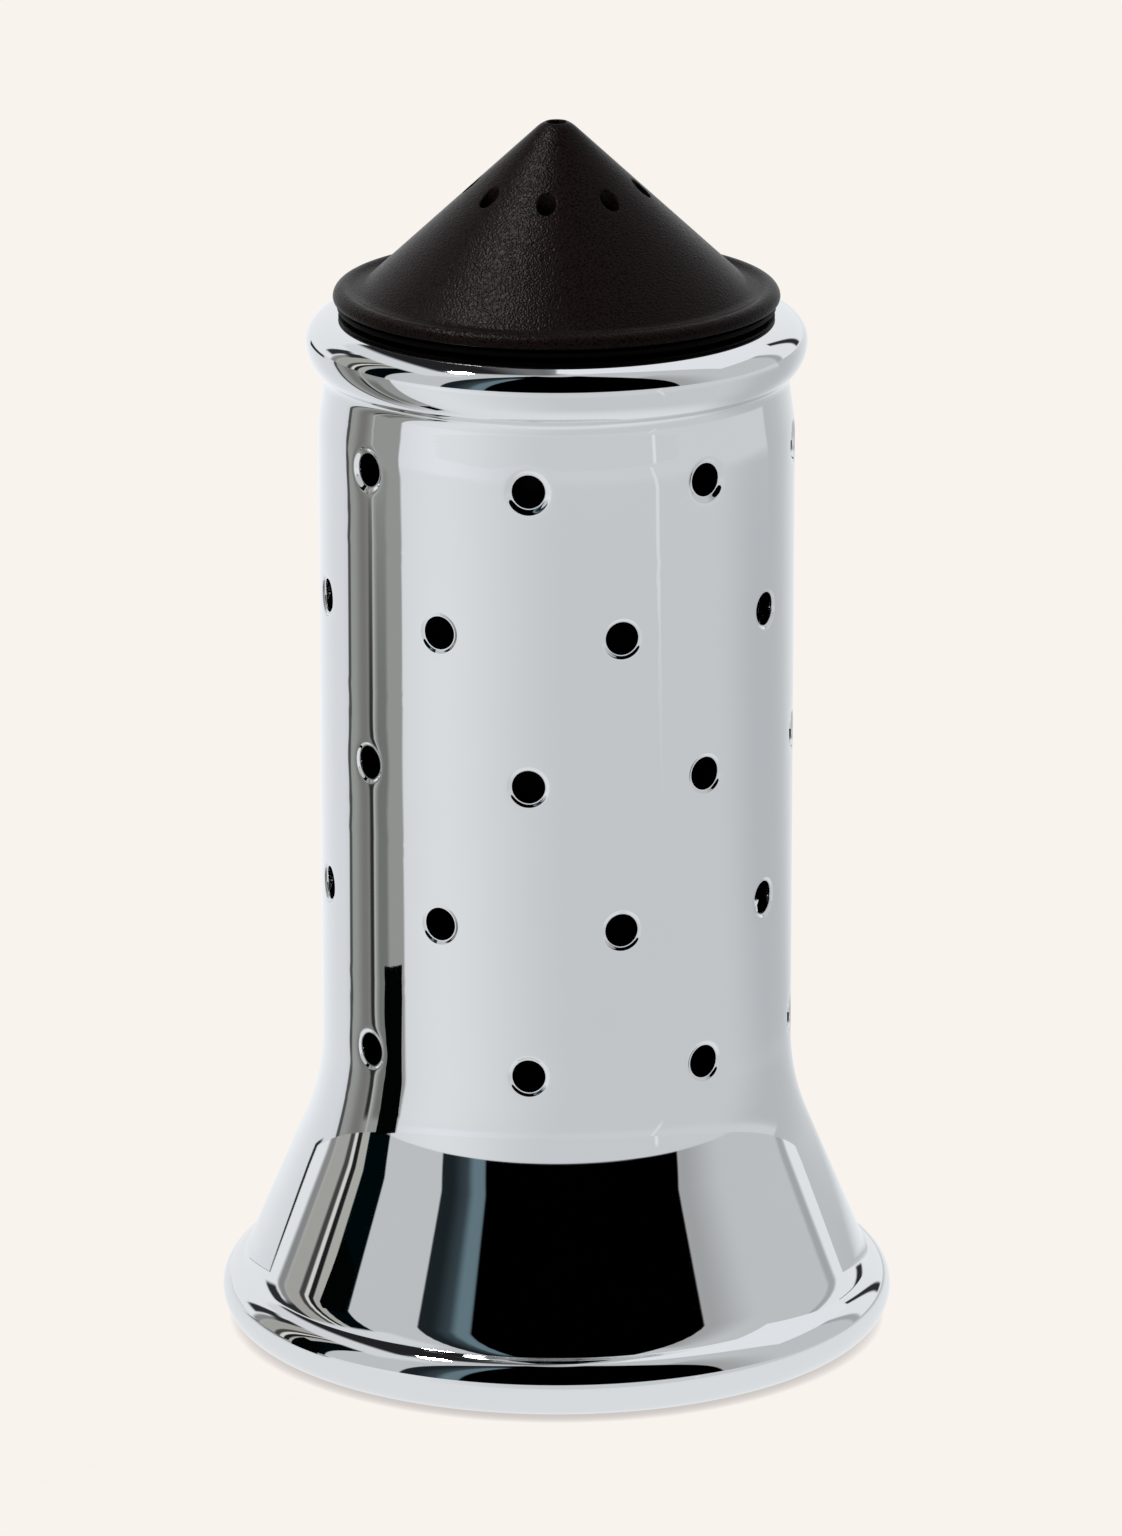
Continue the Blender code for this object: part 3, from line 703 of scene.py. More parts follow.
class SHAKER_OT_cap(bpy.types.Operator):
    """Makes the screw cap: grained cone with pouring holes, rolled lip and threaded skirt"""

    bl_idname = "shaker.cap"
    bl_label = "Screw Cap"

    def execute(self, context):
        s = context.scene.shaker_cap
        cap = self.pierced_cone(s, context.scene.shaker_casing.hole_phase)
        edit_edges(cap)
        for start, section in (self.brim(s), self.crown(s)):
            ring_at(cap, start.x, start.y)
            pull_ring(start, section)
        clean(cap, CAP_SHARP)
        combine(cap, thread_ridge(s.skirt_radius, s.thread_top, s), "UNION")
        clean(cap, CAP_SHARP)
        dress(cap, context, "cap", "cap_plastic", "shaker_cap")
        return {"FINISHED"}

    def brim(self, s):
        """The section from the pierced zone outwards: valley, lip, skirt and the cone's inner side."""
        half = math.degrees(s.cone_half_angle)
        down = Vector((math.sin(s.cone_half_angle), -math.cos(s.cone_half_angle)))
        out = Vector((math.cos(s.cone_half_angle), math.sin(s.cone_half_angle)))
        lip = Vector((s.lip_radius - s.lip_round, s.seat + s.lip_undercut))
        apex = Vector((0, cone_height(s, 0)))
        lip_offset = (lip - apex).dot(out)
        along = math.sqrt((s.lip_round + s.valley_round) ** 2 - (s.valley_round - lip_offset) ** 2)
        valley = apex + out * s.valley_round + down * ((lip - apex).dot(down) - along)
        lip_start = math.degrees(math.atan2(valley.y - lip.y, valley.x - lip.x))
        lip_end = -math.degrees(math.asin(s.lip_undercut / s.lip_round))
        start = Vector((s.pierced_to, cone_height(s, s.pierced_to)))
        hollow = arc(valley, s.valley_round, 180 + half, 180 + lip_start, 8)
        section = line(start, hollow[0], 8) + hollow[1:]
        section += arc(lip, s.lip_round, lip_start, lip_end, 22)[1:]
        lower = section[-1] + Vector((-s.lip_edge, s.lip_edge))
        section = [point for point in section if point.y > s.seat + LIP_CUT * s.lip_edge]
        section += arc(lower, s.lip_edge, lip_end, -90, 4)
        corner = (s.skirt_radius, s.seat)
        inner = s.skirt_radius - s.skirt_wall
        edge = s.skirt_edge
        low = s.seat - s.skirt_length + edge
        section += line(section[-1], corner, 4)
        section += line(corner, (s.skirt_radius, low), 12)
        section += arc((s.skirt_radius - edge, low), edge, 0, -90, 4)[1:]
        section += arc((inner + edge, low), edge, -90, -180, 4)
        section += line(section[-1], cone_inside(s, inner), 8)
        section += line(cone_inside(s, inner), cone_inside(s, s.pierced_to), 5)
        return start, section

    def crown(self, s):
        """The section from the pierced zone inwards: tip, the hole in it and the cone's inner side."""
        hole = s.pour_radius
        start = Vector((s.pierced_from, cone_height(s, s.pierced_from)))
        centre = (0, cone_height(s, 0) - s.tip_round / math.sin(s.cone_half_angle))
        rim = math.degrees(math.acos((hole + s.tip_rim) / s.tip_round))
        dome = arc(centre, s.tip_round, math.degrees(s.cone_half_angle), rim, 8)
        section = line(start, dome[0], 5) + dome[1:]
        section += [Vector((hole + grow * MM, dome[-1].y - drop * MM)) for grow, drop in TIP_RIM]
        section += [cone_inside(s, hole)]
        section += line(cone_inside(s, hole), cone_inside(s, s.pierced_from), 6)
        return start, section

    def pierced_cone(self, s, phase):
        """The ring of pouring holes, one sector made and copied round the cone."""
        hole = s.pour_radius
        wall = s.cone_wall / math.sin(s.cone_half_angle)
        rings = [(hole + grow * MM, depth * MM) for grow, depth in POUR_RIM]
        inner = [(hole + grow * MM, wall - short * MM) for grow, short in POUR_INSIDE]
        half = math.pi / s.pour_holes
        zone = (s.pierced_from, s.pour_ring, s.pierced_to)
        border = tile_border(half, *zone, CONE_ACROSS, CONE_ALONG, from_above)
        sector = pierced_tile("cap_shell", Vector((0, -s.pour_ring)), border, rings, inner)
        for point in sector.data.vertices:
            point.co.z += cone_height(s, point.co.xy.length)
        sectors = [sector]
        for _ in range(1, s.pour_holes):
            copy = sector.copy()
            copy.data = sector.data.copy()
            bpy.context.scene.collection.objects.link(copy)
            sectors.append(copy)
        for number, copy in enumerate(sectors):
            copy.data.transform(Matrix.Rotation(phase + 2 * half * number, 4, "Z"))
        return weld(join(sectors))


class SHAKER_OT_liner(bpy.types.Operator):
    """Makes the salt liner: cup, flange, seal recess, threaded neck and boss"""

    bl_idname = "shaker.liner"
    bl_label = "Salt Liner"

    def execute(self, context):
        s = context.scene.shaker_liner
        cap = context.scene.shaker_cap
        inside = s.radius - s.wall
        low_inside = inside - s.draft
        low_outside = s.radius - s.draft
        floor_top = s.bottom + s.floor
        fillet = s.corner - s.floor / 2
        edge = s.flange_edge
        section = [(0, floor_top), (s.floor_ring, floor_top)]
        section += arc((low_inside - fillet, floor_top + fillet), fillet, -90, 0, 6)
        section += [(inside, s.neck), (inside, s.ledge)]
        section += [(s.ledge_radius, s.ledge), (s.ledge_radius, s.flange_top - edge)]
        section += arc((s.ledge_radius + edge, s.flange_top - edge), edge, 180, 90, 3)
        section += arc((s.flange_radius - edge, s.flange_top - edge), edge, 90, 0, 4)
        section += arc((s.flange_radius - edge, s.flange_bottom + edge), edge, 0, -90, 4)
        section += [(s.radius + edge, s.flange_bottom), (s.radius, s.flange_bottom - edge)]
        section += [(s.radius, s.neck)]
        section += arc((low_outside - s.corner, s.bottom + s.corner), s.corner, 0, -90, 8)
        section += [(s.boss_radius, s.bottom), (s.boss_radius, s.boss_bottom + edge)]
        section += [(s.boss_radius - edge, s.boss_bottom), (s.bore_radius + edge, s.boss_bottom)]
        section += [(s.bore_radius, s.boss_bottom + edge), (s.bore_radius, s.bore_top), (0, s.bore_top)]
        liner = turned("liner_cup", section)
        clean(liner)
        combine(liner, thread_ridge(inside, s.thread_top, cap), "UNION")
        clean(liner)
        dress(liner, context, "shaker_body", "liner_plastic", "salt_liner")
        return {"FINISHED"}


def ring_section(inside, outside, bottom, top):
    """The corners of a ring's section."""
    return [(outside, top), (outside, bottom), (inside, bottom), (inside, top)]


class SHAKER_OT_seal(bpy.types.Operator):
    """Makes the rubber seal ring under the cap"""

    bl_idname = "shaker.seal"
    bl_label = "Seal Ring"

    def execute(self, context):
        s = context.scene.shaker_base
        section = ring_section(s.seal_inside, s.seal_outside, s.seal_bottom, s.seal_top)
        seal = turned("seal_ring", rounded(section, s.seal_edge, 5), closed=True)
        clean(seal, SEAL_SHARP)
        dress(seal, context, "seal", "seal_rubber", "cap_seal")
        return {"FINISHED"}


class SHAKER_OT_plate(bpy.types.Operator):
    """Makes the moulded base plate with its hub"""

    bl_idname = "shaker.plate"
    bl_label = "Base Plate"

    def execute(self, context):
        s = context.scene.shaker_base
        rim = s.plate_lower_edge - s.plate_rim
        land = s.washer_radius + s.recess_land
        recess = s.plate_bottom + s.recess_depth
        section = [(s.hub_inside, s.hub_top), (s.hub_outside, s.hub_top), (s.hub_outside, s.plate_top)]
        section += [(s.plate_upper_edge, s.plate_top), (s.plate_lower_edge, s.plate_bottom)]
        section += [(rim, s.plate_bottom), (rim - s.recess_slope, recess)]
        section += [(land + s.recess_slope, recess), (land, s.plate_bottom)]
        section += [(s.bore, s.plate_bottom), (s.bore, s.hub_floor), (s.hub_inside, s.hub_floor)]
        plate = turned("base_disc", rounded(section, s.plate_edge), closed=True)
        clean(plate)
        dress(plate, context, "shaker_body", "plate_plastic", "base_plate")
        return {"FINISHED"}


class SHAKER_OT_fasteners(bpy.types.Operator):
    """Makes the base screw, its washer and the brass insert"""

    bl_idname = "shaker.fasteners"
    bl_label = "Fasteners"

    def execute(self, context):
        s = context.scene.shaker_base
        self.screw(context, s)
        section = ring_section(s.bore, s.washer_radius, s.washer_bottom, s.washer_top)
        washer = turned("washer_ring", rounded(section, s.washer_edge), SMALL_STEPS, closed=True)
        clean(washer)
        dress(washer, context, "shaker_body", "washer_steel", "screw_washer")
        self.insert(context, s)
        return {"FINISHED"}

    def screw(self, context, s):
        """The pan-head screw with its hexagon socket."""
        edge = s.head_edge
        tip = s.screw_tip
        rim = s.head_rim
        round_socket = 1.2 * s.socket_radius
        section = [(0, s.screw_top), (s.screw_radius - tip, s.screw_top)]
        section += [(s.screw_radius, s.screw_top - tip), (s.screw_radius, s.head_top)]
        section += [(s.head_radius - rim, s.head_top), (s.head_radius, s.head_top - rim)]
        section += arc((s.head_radius - edge, s.head_bottom + edge), edge, 0, -90, 6)
        section += [(round_socket, s.head_bottom), (0, s.head_bottom)]
        screw = turned("screw_body", section, SMALL_STEPS)
        clean(screw)
        deselect()
        bpy.ops.mesh.primitive_cylinder_add(
            vertices=6, radius=s.socket_radius, depth=2 * s.socket_depth, location=(0, 0, s.head_bottom)
        )
        socket = context.object
        bpy.ops.object.transform_apply(location=True, rotation=True, scale=True)
        combine(screw, socket, "DIFFERENCE")
        clean(screw)
        dress(screw, context, "shaker_body", "screw_steel", "base_screw")

    def insert(self, context, s):
        """The brass insert with a groove round its middle."""
        top = s.insert_bottom + s.insert_length
        third = s.insert_length / 3
        small = s.insert_radius - s.insert_groove
        section = [(s.insert_radius, top), (s.insert_radius, top - third)]
        section += [(small, top - third), (small, s.insert_bottom + third)]
        section += [(s.insert_radius, s.insert_bottom + third), (s.insert_radius, s.insert_bottom)]
        section += [(s.bore, s.insert_bottom), (s.bore, top)]
        insert = turned("insert_bush", rounded(section, s.insert_edge), SMALL_STEPS, closed=True)
        clean(insert)
        dress(insert, context, "shaker_body", "insert_brass", "boss_insert")


def dress(item, context, body, slot, node):
    """Gives a piece its finish, and its body, slot and CAD node."""
    item.data.materials.clear()
    item.data.materials.append(finish(context, slot))
    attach(item, body)
    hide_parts(node)


def feed(tree, value, target):
    """Links a socket to an input, or sets the input to a number or a colour."""
    if isinstance(value, bpy.types.NodeSocket):
        tree.links.new(value, target)
    elif isinstance(value, (int, float)):
        target.default_value = value
    else:
        target.default_value = (*value, 1.0)


def calculate(tree, operation, *values):
    """A math node on sockets or numbers."""
    node = tree.nodes.new("ShaderNodeMath")
    node.operation = operation
    for number, value in enumerate(values):
        feed(tree, value, node.inputs[number])
    return node.outputs["Value"]


def soft_step(tree, value, middle, width):
    """A smooth step from 0 to 1 about a value."""
    node = tree.nodes.new("ShaderNodeMapRange")
    node.interpolation_type = "SMOOTHSTEP"
    node.inputs["From Min"].default_value = middle - width / 2
    node.inputs["From Max"].default_value = middle + width / 2
    tree.links.new(value, node.inputs["Value"])
    return node.outputs["Result"]


def mix_colours(tree, factor, first, second):
    """A mix of two colours, each given as a colour or a socket."""
    mix = tree.nodes.new("ShaderNodeMix")
    mix.data_type = "RGBA"
    tree.links.new(factor, mix.inputs["Factor"])
    feed(tree, first, mix.inputs["A"])
    feed(tree, second, mix.inputs["B"])
    return mix.outputs["Result"]


def noise(tree, vector, scale, detail):
    """A noise texture, with its scale given as a number or a socket."""
    node = tree.nodes.new("ShaderNodeTexNoise")
    node.inputs["Detail"].default_value = detail
    feed(tree, scale, node.inputs["Scale"])
    tree.links.new(vector, node.inputs["Vector"])
    return node.outputs["Fac"]


def new_group(name, labels):
    """A node group with named values in, and height, roughness and tone out."""
    tree = bpy.data.node_groups.new(name, "ShaderNodeTree")
    for label in labels:
        tree.interface.new_socket(name=label, in_out="INPUT", socket_type="NodeSocketFloat")
    for label in ("Height", "Roughness", "Tone"):
        tree.interface.new_socket(name=label, in_out="OUTPUT", socket_type="NodeSocketFloat")
    vector = tree.nodes.new("ShaderNodeTexCoord").outputs["Object"]
    inputs = tree.nodes.new("NodeGroupInput").outputs
    outputs = tree.nodes.new("NodeGroupOutput").inputs
    return tree, vector, inputs, outputs


def moulded_grain():
    """Spark-eroded grain of a moulded part: fine pits with a coarser drift between matt and gloss."""
    tree, vector, inputs, outputs = new_group("moulded_grain", ("Scale", "Matt", "Drift"))
    pits = tree.nodes.new("ShaderNodeTexVoronoi")
    pits.feature = "SMOOTH_F1"
    pits.inputs["Smoothness"].default_value = 0.6
    tree.links.new(vector, pits.inputs["Vector"])
    tree.links.new(inputs["Scale"], pits.inputs["Scale"])
    fine = noise(tree, vector, inputs["Scale"], detail=3.0)
    broad = noise(tree, vector, scale=160.0, detail=2.0)
    height = calculate(tree, "MULTIPLY_ADD", fine, 0.5, pits.outputs["Distance"])
    tree.links.new(height, outputs["Height"])
    tree.links.new(soft_step(tree, height, middle=0.62, width=0.3), outputs["Tone"])
    roughness = calculate(tree, "MULTIPLY_ADD", broad, inputs["Drift"], inputs["Matt"])
    tree.links.new(roughness, outputs["Roughness"])
    return tree


def worked_metal():
    """Marks of polishing or turning on metal: hairlines round the axis and a cloudy change of gloss."""
    tree, vector, inputs, outputs = new_group("worked_metal", ("Lines", "Gloss", "Cloud"))
    squeeze = tree.nodes.new("ShaderNodeMapping")
    squeeze.inputs["Scale"].default_value = (0.02, 0.02, 1.0)
    tree.links.new(vector, squeeze.inputs["Vector"])
    lines = noise(tree, squeeze.outputs["Vector"], inputs["Lines"], detail=2.0)
    cloud = noise(tree, vector, scale=90.0, detail=4.0)
    tree.links.new(lines, outputs["Height"])
    tree.links.new(cloud, outputs["Tone"])
    roughness = calculate(tree, "MULTIPLY_ADD", cloud, inputs["Cloud"], inputs["Gloss"])
    tree.links.new(roughness, outputs["Roughness"])
    return tree


# Each slot's finish: colour; node group and its three values; metallic and specular level; spread of the
# tone; strength and depth of the relief.
FINISHES = {
    "mirror_steel": ("steel", worked_metal, (6000.0, 0.012, 0.02), 1.0, 0.5, 0.012, 0.012, 0.00002),
    "cap_plastic": ("cap", moulded_grain, (5600.0, 0.26, 0.06), 0.0, 0.034, 0.9, 0.65, 0.00006),
    "liner_plastic": ("liner", moulded_grain, (2600.0, 0.4, 0.1), 0.0, 0.02, 0.25, 0.12, 0.00003),
    "seal_rubber": ("seal", moulded_grain, (3400.0, 0.62, 0.12), 0.0, 0.35, 0.25, 0.25, 0.00004),
    "plate_plastic": ("plate", moulded_grain, (3800.0, 0.46, 0.1), 0.0, 0.5, 0.25, 0.35, 0.00004),
    "screw_steel": ("fastener", worked_metal, (5200.0, 0.26, 0.12), 1.0, 0.5, 0.1, 0.12, 0.00002),
    "washer_steel": ("fastener", worked_metal, (5200.0, 0.36, 0.12), 1.0, 0.5, 0.1, 0.12, 0.00002),
    "insert_brass": ("brass", worked_metal, (4200.0, 0.24, 0.1), 1.0, 0.5, 0.08, 0.15, 0.00002),
}
IOR = 1.5


def finish(context, slot):
    """The material of a slot: its node group drives the tone, the roughness and the relief."""
    tint, make_group, values, metallic, specular, spread_of_tone, strength, depth = FINISHES[slot]
    base = getattr(context.scene.shaker_colours, tint)
    material = bpy.data.materials.new(slot)
    material.use_nodes = True
    tree = material.node_tree
    shader = tree.nodes["Principled BSDF"].inputs
    shader["Metallic"].default_value = metallic
    shader["IOR"].default_value = IOR
    shader["Specular IOR Level"].default_value = specular
    group = tree.nodes.new("ShaderNodeGroup")
    group.node_tree = bpy.data.node_groups.get(make_group.__name__) or make_group()
    for socket, value in zip(group.inputs, values):
        socket.default_value = value
    dark = [part * (1 - spread_of_tone) for part in base]
    light = [min(part * (1 + spread_of_tone), 1.0) for part in base]
    tree.links.new(mix_colours(tree, group.outputs["Tone"], dark, light), shader["Base Color"])
    tree.links.new(group.outputs["Roughness"], shader["Roughness"])
    relief = tree.nodes.new("ShaderNodeBump")
    relief.inputs["Strength"].default_value = strength
    relief.inputs["Distance"].default_value = depth
    tree.links.new(group.outputs["Height"], relief.inputs["Height"])
    tree.links.new(relief.outputs["Normal"], shader["Normal"])
    return material


# The studio round the shaker, as the polished steel sees it. Azimuth runs from the front towards +X.
# Each card is: azimuth from, to and soft edge; elevation from, to and soft edge; brightness.
STUDIO_CARDS = (
    (124, 190, 4, -5, 95, 4, (0.93, 0.95, 0.97)),
    (-190, -124, 4, -5, 95, 4, (0.93, 0.95, 0.97)),
    (142, 148, 2.5, 2, 60, 3, (0.03, 0.031, 0.032)),
    (50, 70, 26, -5, 60, 6, (0.42, 0.425, 0.43)),
    (119, 124, 3, -5, 60, 4, (0.46, 0.47, 0.48)),
    (-124, -119, 3, -5, 60, 4, (0.3, 0.3, 0.3)),
    (-119, -110, 3, -5, 60, 4, (0.44, 0.43, 0.4)),
    (-134, -126, 2.5, 11, 32, 5, (0.03, 0.031, 0.032)),
    (-128, -119.5, 2.5, 25, 64, 6, (0.03, 0.031, 0.032)),
    (-110, -106.5, 2, -5, 60, 4, (0.07, 0.066, 0.06)),
    (-106.5, -104.5, 0.8, -5, 60, 4, (0.8, 0.78, 0.73)),
    (-104.5, -101.5, 0.8, -5, 60, 4, (0.015, 0.015, 0.015)),
    (-101.5, -97, 1.5, -5, 60, 4, (0.5, 0.49, 0.45)),
    (-97, -84, 0.8, -5, 60, 4, (0.0, 0.003, 0.004)),
    (-54, 57.5, 1.2, 3, 84, 3, (0.0, 0.0, 0.0)),
    (-54, -30, 1.2, 3, 70, 10, (0.014, 0.02, 0.024)),
    (-45, -30, 9, 3, 70, 10, (0.045, 0.066, 0.078)),
    (-40, -32.5, 4.5, 3, 70, 10, (0.15, 0.225, 0.262)),
    (-33, 57.5, 1.2, 3, 84, 3, (0.0, 0.0, 0.0)),
)
# Cards on the ceiling: place along x and y as shares of its height, each from, to and soft edge; brightness.
CEILING_CARDS = (
    (-1.1, -0.55, 0.15, -0.3, 1.4, 0.2, (0.8, 0.82, 0.84)),
    (-0.62, 0.0, 0.12, 0.0, 1.4, 0.1, (0.02, 0.02, 0.022)),
    (-0.16, 0.0, 0.2, 0.0, 1.4, 0.1, (0.2, 0.205, 0.21)),
    (0.0, 1.3, 0.012, 0.12, 1.4, 0.03, (0.95, 0.97, 1.0)),
)
# Cards that lie on the floor, seen only in the steel: azimuth from, to and soft edge; distance from, to
# and soft edge; brightness. They paint light and shade on the floor: brighter at the left, towards the
# lamp, dimmer at the right, with narrow dark and bright stripes.
FLOOR_CARDS = (
    (-90, -30, 70, 0.0, 9.0, 0.1, (0.9, 0.92, 0.94)),
    (92, 136, 36, 0.0, 9.0, 0.1, (0.575, 0.59, 0.61)),
    (150, 190, 40, 0.0, 9.0, 0.1, (0.87, 0.89, 0.91)),
    (-190, -121, 14, 0.0, 9.0, 0.1, (0.82, 0.84, 0.865)),
    (-190, -148, 40, 0.0, 9.0, 0.1, (0.95, 0.97, 1.0)),
    (-83, 118, 2, 0.42, 99.0, 0.4, (0.74, 0.76, 0.78)),
    (-83, -30, 56, 0.42, 99.0, 0.4, (0.95, 0.97, 1.0)),
    (44.4, 46.0, 0.8, 0.25, 3.0, 0.14, (0.86, 0.87, 0.88)),
    (-121, -81, 1.6, 0.0, 99.0, 0.1, (0.36, 0.365, 0.35)),
    (-112, -103, 8, 0.0, 9.0, 0.1, (0.22, 0.215, 0.205)),
    (-121, -118.5, 1.0, 0.0, 9.0, 0.1, (0.09, 0.09, 0.09)),
    (-103.6, -100.6, 1.8, 0.0, 0.3, 0.2, (0.03, 0.03, 0.03)),
    (-100.6, -99.4, 0.8, 0.05, 9.0, 0.1, (0.5, 0.5, 0.48)),
    (-98, -91, 3, 0.0, 0.3, 0.2, (0.2, 0.205, 0.195)),
    (-152, -131, 3, 0.8, 3.0, 0.2, (0.03, 0.031, 0.032)),
    (-260, 260, 2, -1.0, 0.07, 0.06, (0.88, 0.9, 0.92)),
)
STUDIO_WALL = (0.645, 0.655, 0.665)
FLOOR_IN_STEEL = (0.695, 0.715, 0.735)
# The floor sweeps up before the wall: its edge in front, and how far it falls by the azimuth at its sides.
SWEEP_TOP = 11.0
SWEEP_FALL = 8.0
SWEEP_SIDE = 75.0
SWEEP_CARDS = (
    (-83, 118, 2, -5, SWEEP_TOP, 0.7, (0.72, 0.74, 0.76)),
    (-83, -30, 56, -5, SWEEP_TOP, 0.7, (0.9, 0.92, 0.94)),
    (46.9, 48.5, 0.8, -5, 7, 2, (0.9, 0.92, 0.94)),
)
# Light from the world on what isn't polished, and the flag's black.
EVEN_LIGHT = (0.22, 0.22, 0.22)
FLAG_BLACK = (0.001, 0.002, 0.002)
# In metres: the floor's side, how far it lies below the foot, and the reach of the painted contact shadow.
FLOOR_SIDE = 24.0
FLOOR_DROP = 0.0002
SHADOW_REACH = 0.0009
# The floor's brightness in that painted shadow.
SHADOW_TONE = 0.6
# The floor's cards turn towards the foot: by these degrees at one metre, and no further within LEAD_FROM.
CARD_LEAD = 0.9
LEAD_FROM = 0.04
# The lowest rise, as a share of the way, at which the ceiling is still laid out.
CEILING_FROM = 0.02
SENSOR_HEIGHT = 36.0
CLIP_START = 0.01


def within(tree, value, low, high, width):
    """A mask between two values, with soft edges."""
    over = soft_step(tree, value, low, width)
    under = calculate(tree, "SUBTRACT", 1.0, soft_step(tree, value, high, width))
    return calculate(tree, "MULTIPLY", over, under)


def lay_cards(tree, base, turn, second, cards):
    """Lays cards in order over a base, which is a colour or what is already laid."""
    for low, high, soft, low2, high2, soft2, value in cards:
        mask = within(tree, turn, low, high, soft)
        mask = calculate(tree, "MULTIPLY", mask, within(tree, second, low2, high2, soft2))
        base = mix_colours(tree, mask, base, value)
    return base


def azimuth(tree, x, y):
    """Degrees from the front towards +X."""
    turn = calculate(tree, "ARCTAN2", x, calculate(tree, "MULTIPLY", y, -1.0))
    return calculate(tree, "DEGREES", turn)


def split_place(tree, kind):
    """The x, y and z of a kind of texture coordinate."""
    coordinates = tree.nodes.new("ShaderNodeTexCoord")
    split = tree.nodes.new("ShaderNodeSeparateXYZ")
    tree.links.new(coordinates.outputs[kind], split.inputs["Vector"])
    return split.outputs["X"], split.outputs["Y"], split.outputs["Z"]


def glow(tree, kind, value):
    """An emission or background shader of a colour, given as a colour or a socket."""
    node = tree.nodes.new(kind)
    feed(tree, value, node.inputs["Color"])
    return node.outputs[0]


def mix_shaders(tree, factor, first, second):
    """The first shader where the factor is 0, the second where it is 1."""
    node = tree.nodes.new("ShaderNodeMixShader")
    tree.links.new(factor, node.inputs["Fac"])
    tree.links.new(first, node.inputs[1])
    tree.links.new(second, node.inputs[2])
    return node.outputs["Shader"]


